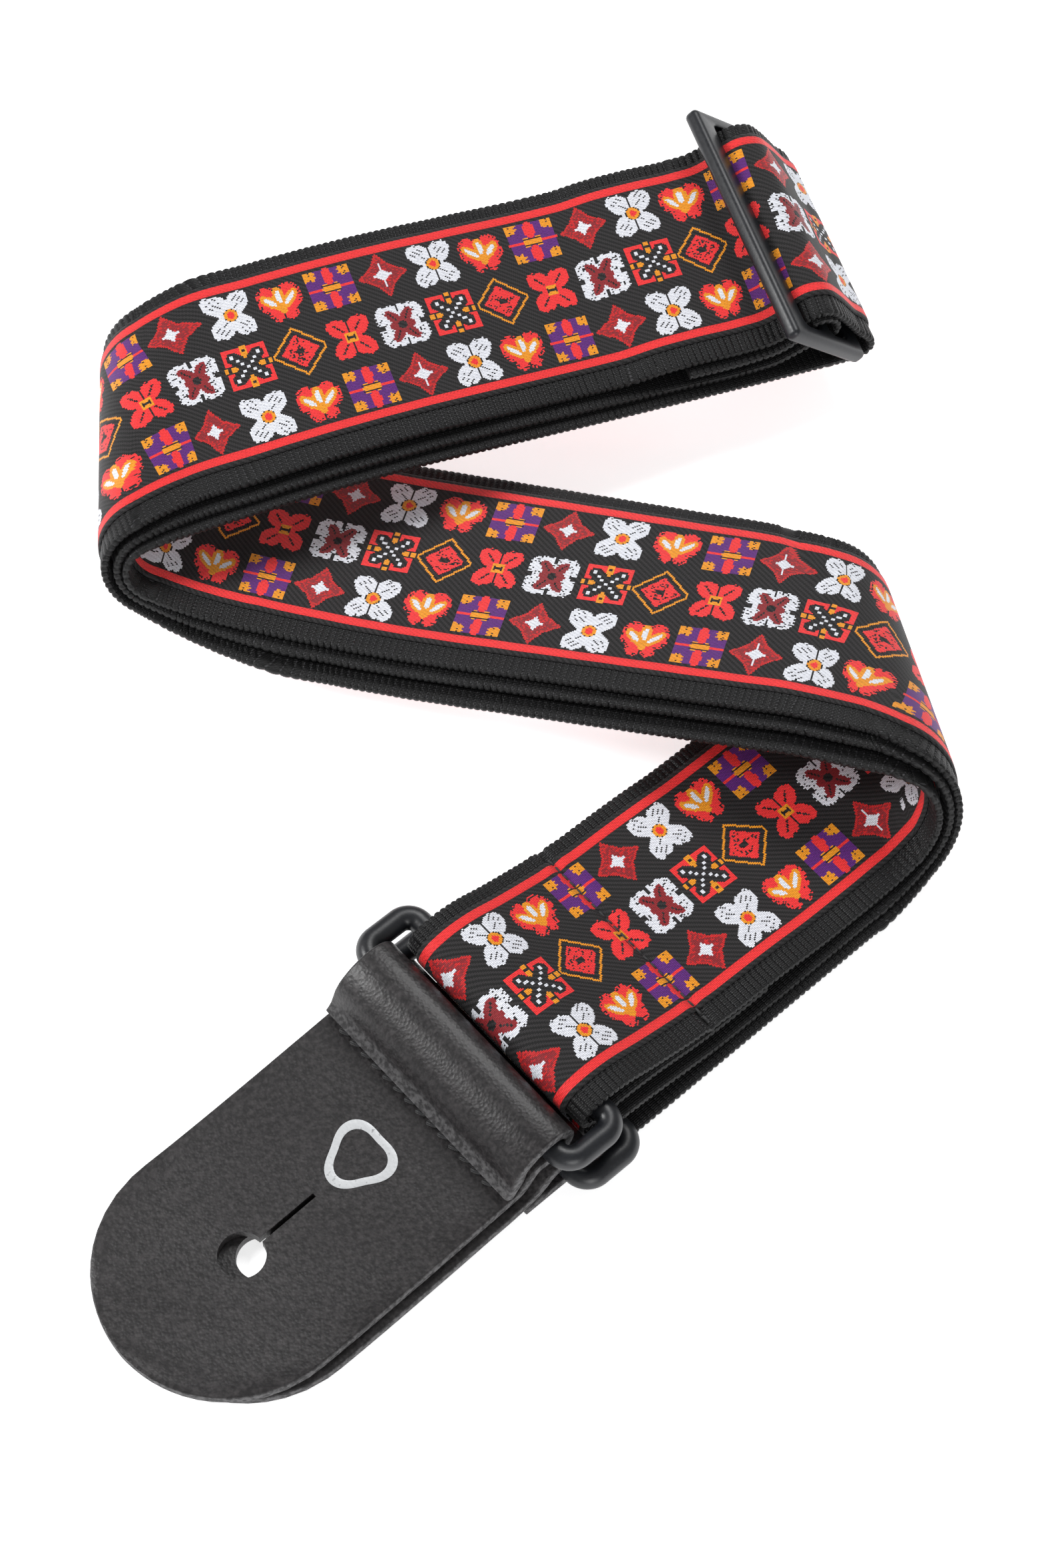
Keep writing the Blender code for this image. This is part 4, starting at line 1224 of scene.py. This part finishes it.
finishes = {
    "ribbon": ribbonMaterial(), "webbing": webbingMaterial(), "leather": leatherMaterial(),
    "plastic": plasticMaterial(), "thread": threadMaterial(), "foil": foilMaterial(),
}
print("finishes made:", len(finishes))

buildStrap(finishes["webbing"], finishes["ribbon"])
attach(seamStitches(finishes["thread"]), "strap_bottom")
for letter in "ab":
    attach(leatherEnd(letter, finishes["leather"]), "leather_" + letter)
    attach(leatherStitches(letter, finishes["thread"]), "leather_" + letter)
    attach(buildLoop(letter, finishes["plastic"]), "loop_" + letter)
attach(foilMark(finishes["foil"]), "leather_a")
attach(buildSlider(finishes["plastic"]), "slider")
print("leather ends, loops and buckle built")

# the stage is in metres, the camera's tip in degrees and its lens in millimetres
stage = {"floor": 40.0, "paper": linear(246, 246, 247), "glow": 0.7, "sky": 0.33}
view = {"target": (0.00013, -0.0086, -0.00015), "back": 0.3521, "high": 0.6622, "tip": 28.0, "lens": 129.97}
lamps = (
    # name, place, size, power
    ("overhead", (0.25, 0.75, 1.1), 0.7, 9.0),
    ("key", (-0.95, 0.05, 0.75), 0.35, 9.0),
    ("front", (0.25, -1.1, 0.45), 0.6, 5.0),
)


def buildStage():
    pick()
    bpy.ops.mesh.primitive_plane_add(size=stage["floor"])
    floor = bpy.context.object
    floor.name = "floor"
    material, tree, shader = startMaterial("paper floor", {
        "Roughness": 0.9, "Emission Color": (1, 1, 1, 1), "Emission Strength": stage["glow"]})
    soft = noise(tree, objectPlace(tree), 6.0)
    feed(mixColour(tree, soft * 0.2, stage["paper"], linear(240, 240, 242)), shader["Base Color"])
    floor.data.materials.append(material)
    for name, place, size, power in lamps:
        light = bpy.data.lights.new(name, "AREA")
        light.shape, light.size, light.energy = "DISK", size, power
        lamp = bpy.data.objects.new(name, light)
        lamp.location = place
        lamp.rotation_euler = (-Vector(place)).to_track_quat("-Z", "Y").to_euler()
        bpy.context.scene.collection.objects.link(lamp)
    world = bpy.data.worlds.new("soft room")
    world.use_nodes = True
    world.node_tree.nodes["Background"].inputs["Color"].default_value = (1, 1, 1, 1)
    world.node_tree.nodes["Background"].inputs["Strength"].default_value = stage["sky"]
    bpy.context.scene.world = world


def buildCamera():
    lens = bpy.data.cameras.new("camera")
    lens.lens, lens.sensor_width, lens.sensor_fit = view["lens"], 36, "HORIZONTAL"
    lens.clip_start, lens.clip_end = 0.01, 20
    camera = bpy.data.objects.new("camera", lens)
    x, y, z = view["target"]
    camera.location = (x, y - view["back"], z + view["high"])
    camera.rotation_euler = (math.radians(view["tip"]), 0, 0)
    bpy.context.scene.collection.objects.link(camera)
    bpy.context.scene.camera = camera


buildStage()
buildCamera()
bpy.context.scene.view_settings.view_transform = "Standard"
print("stage and camera set")
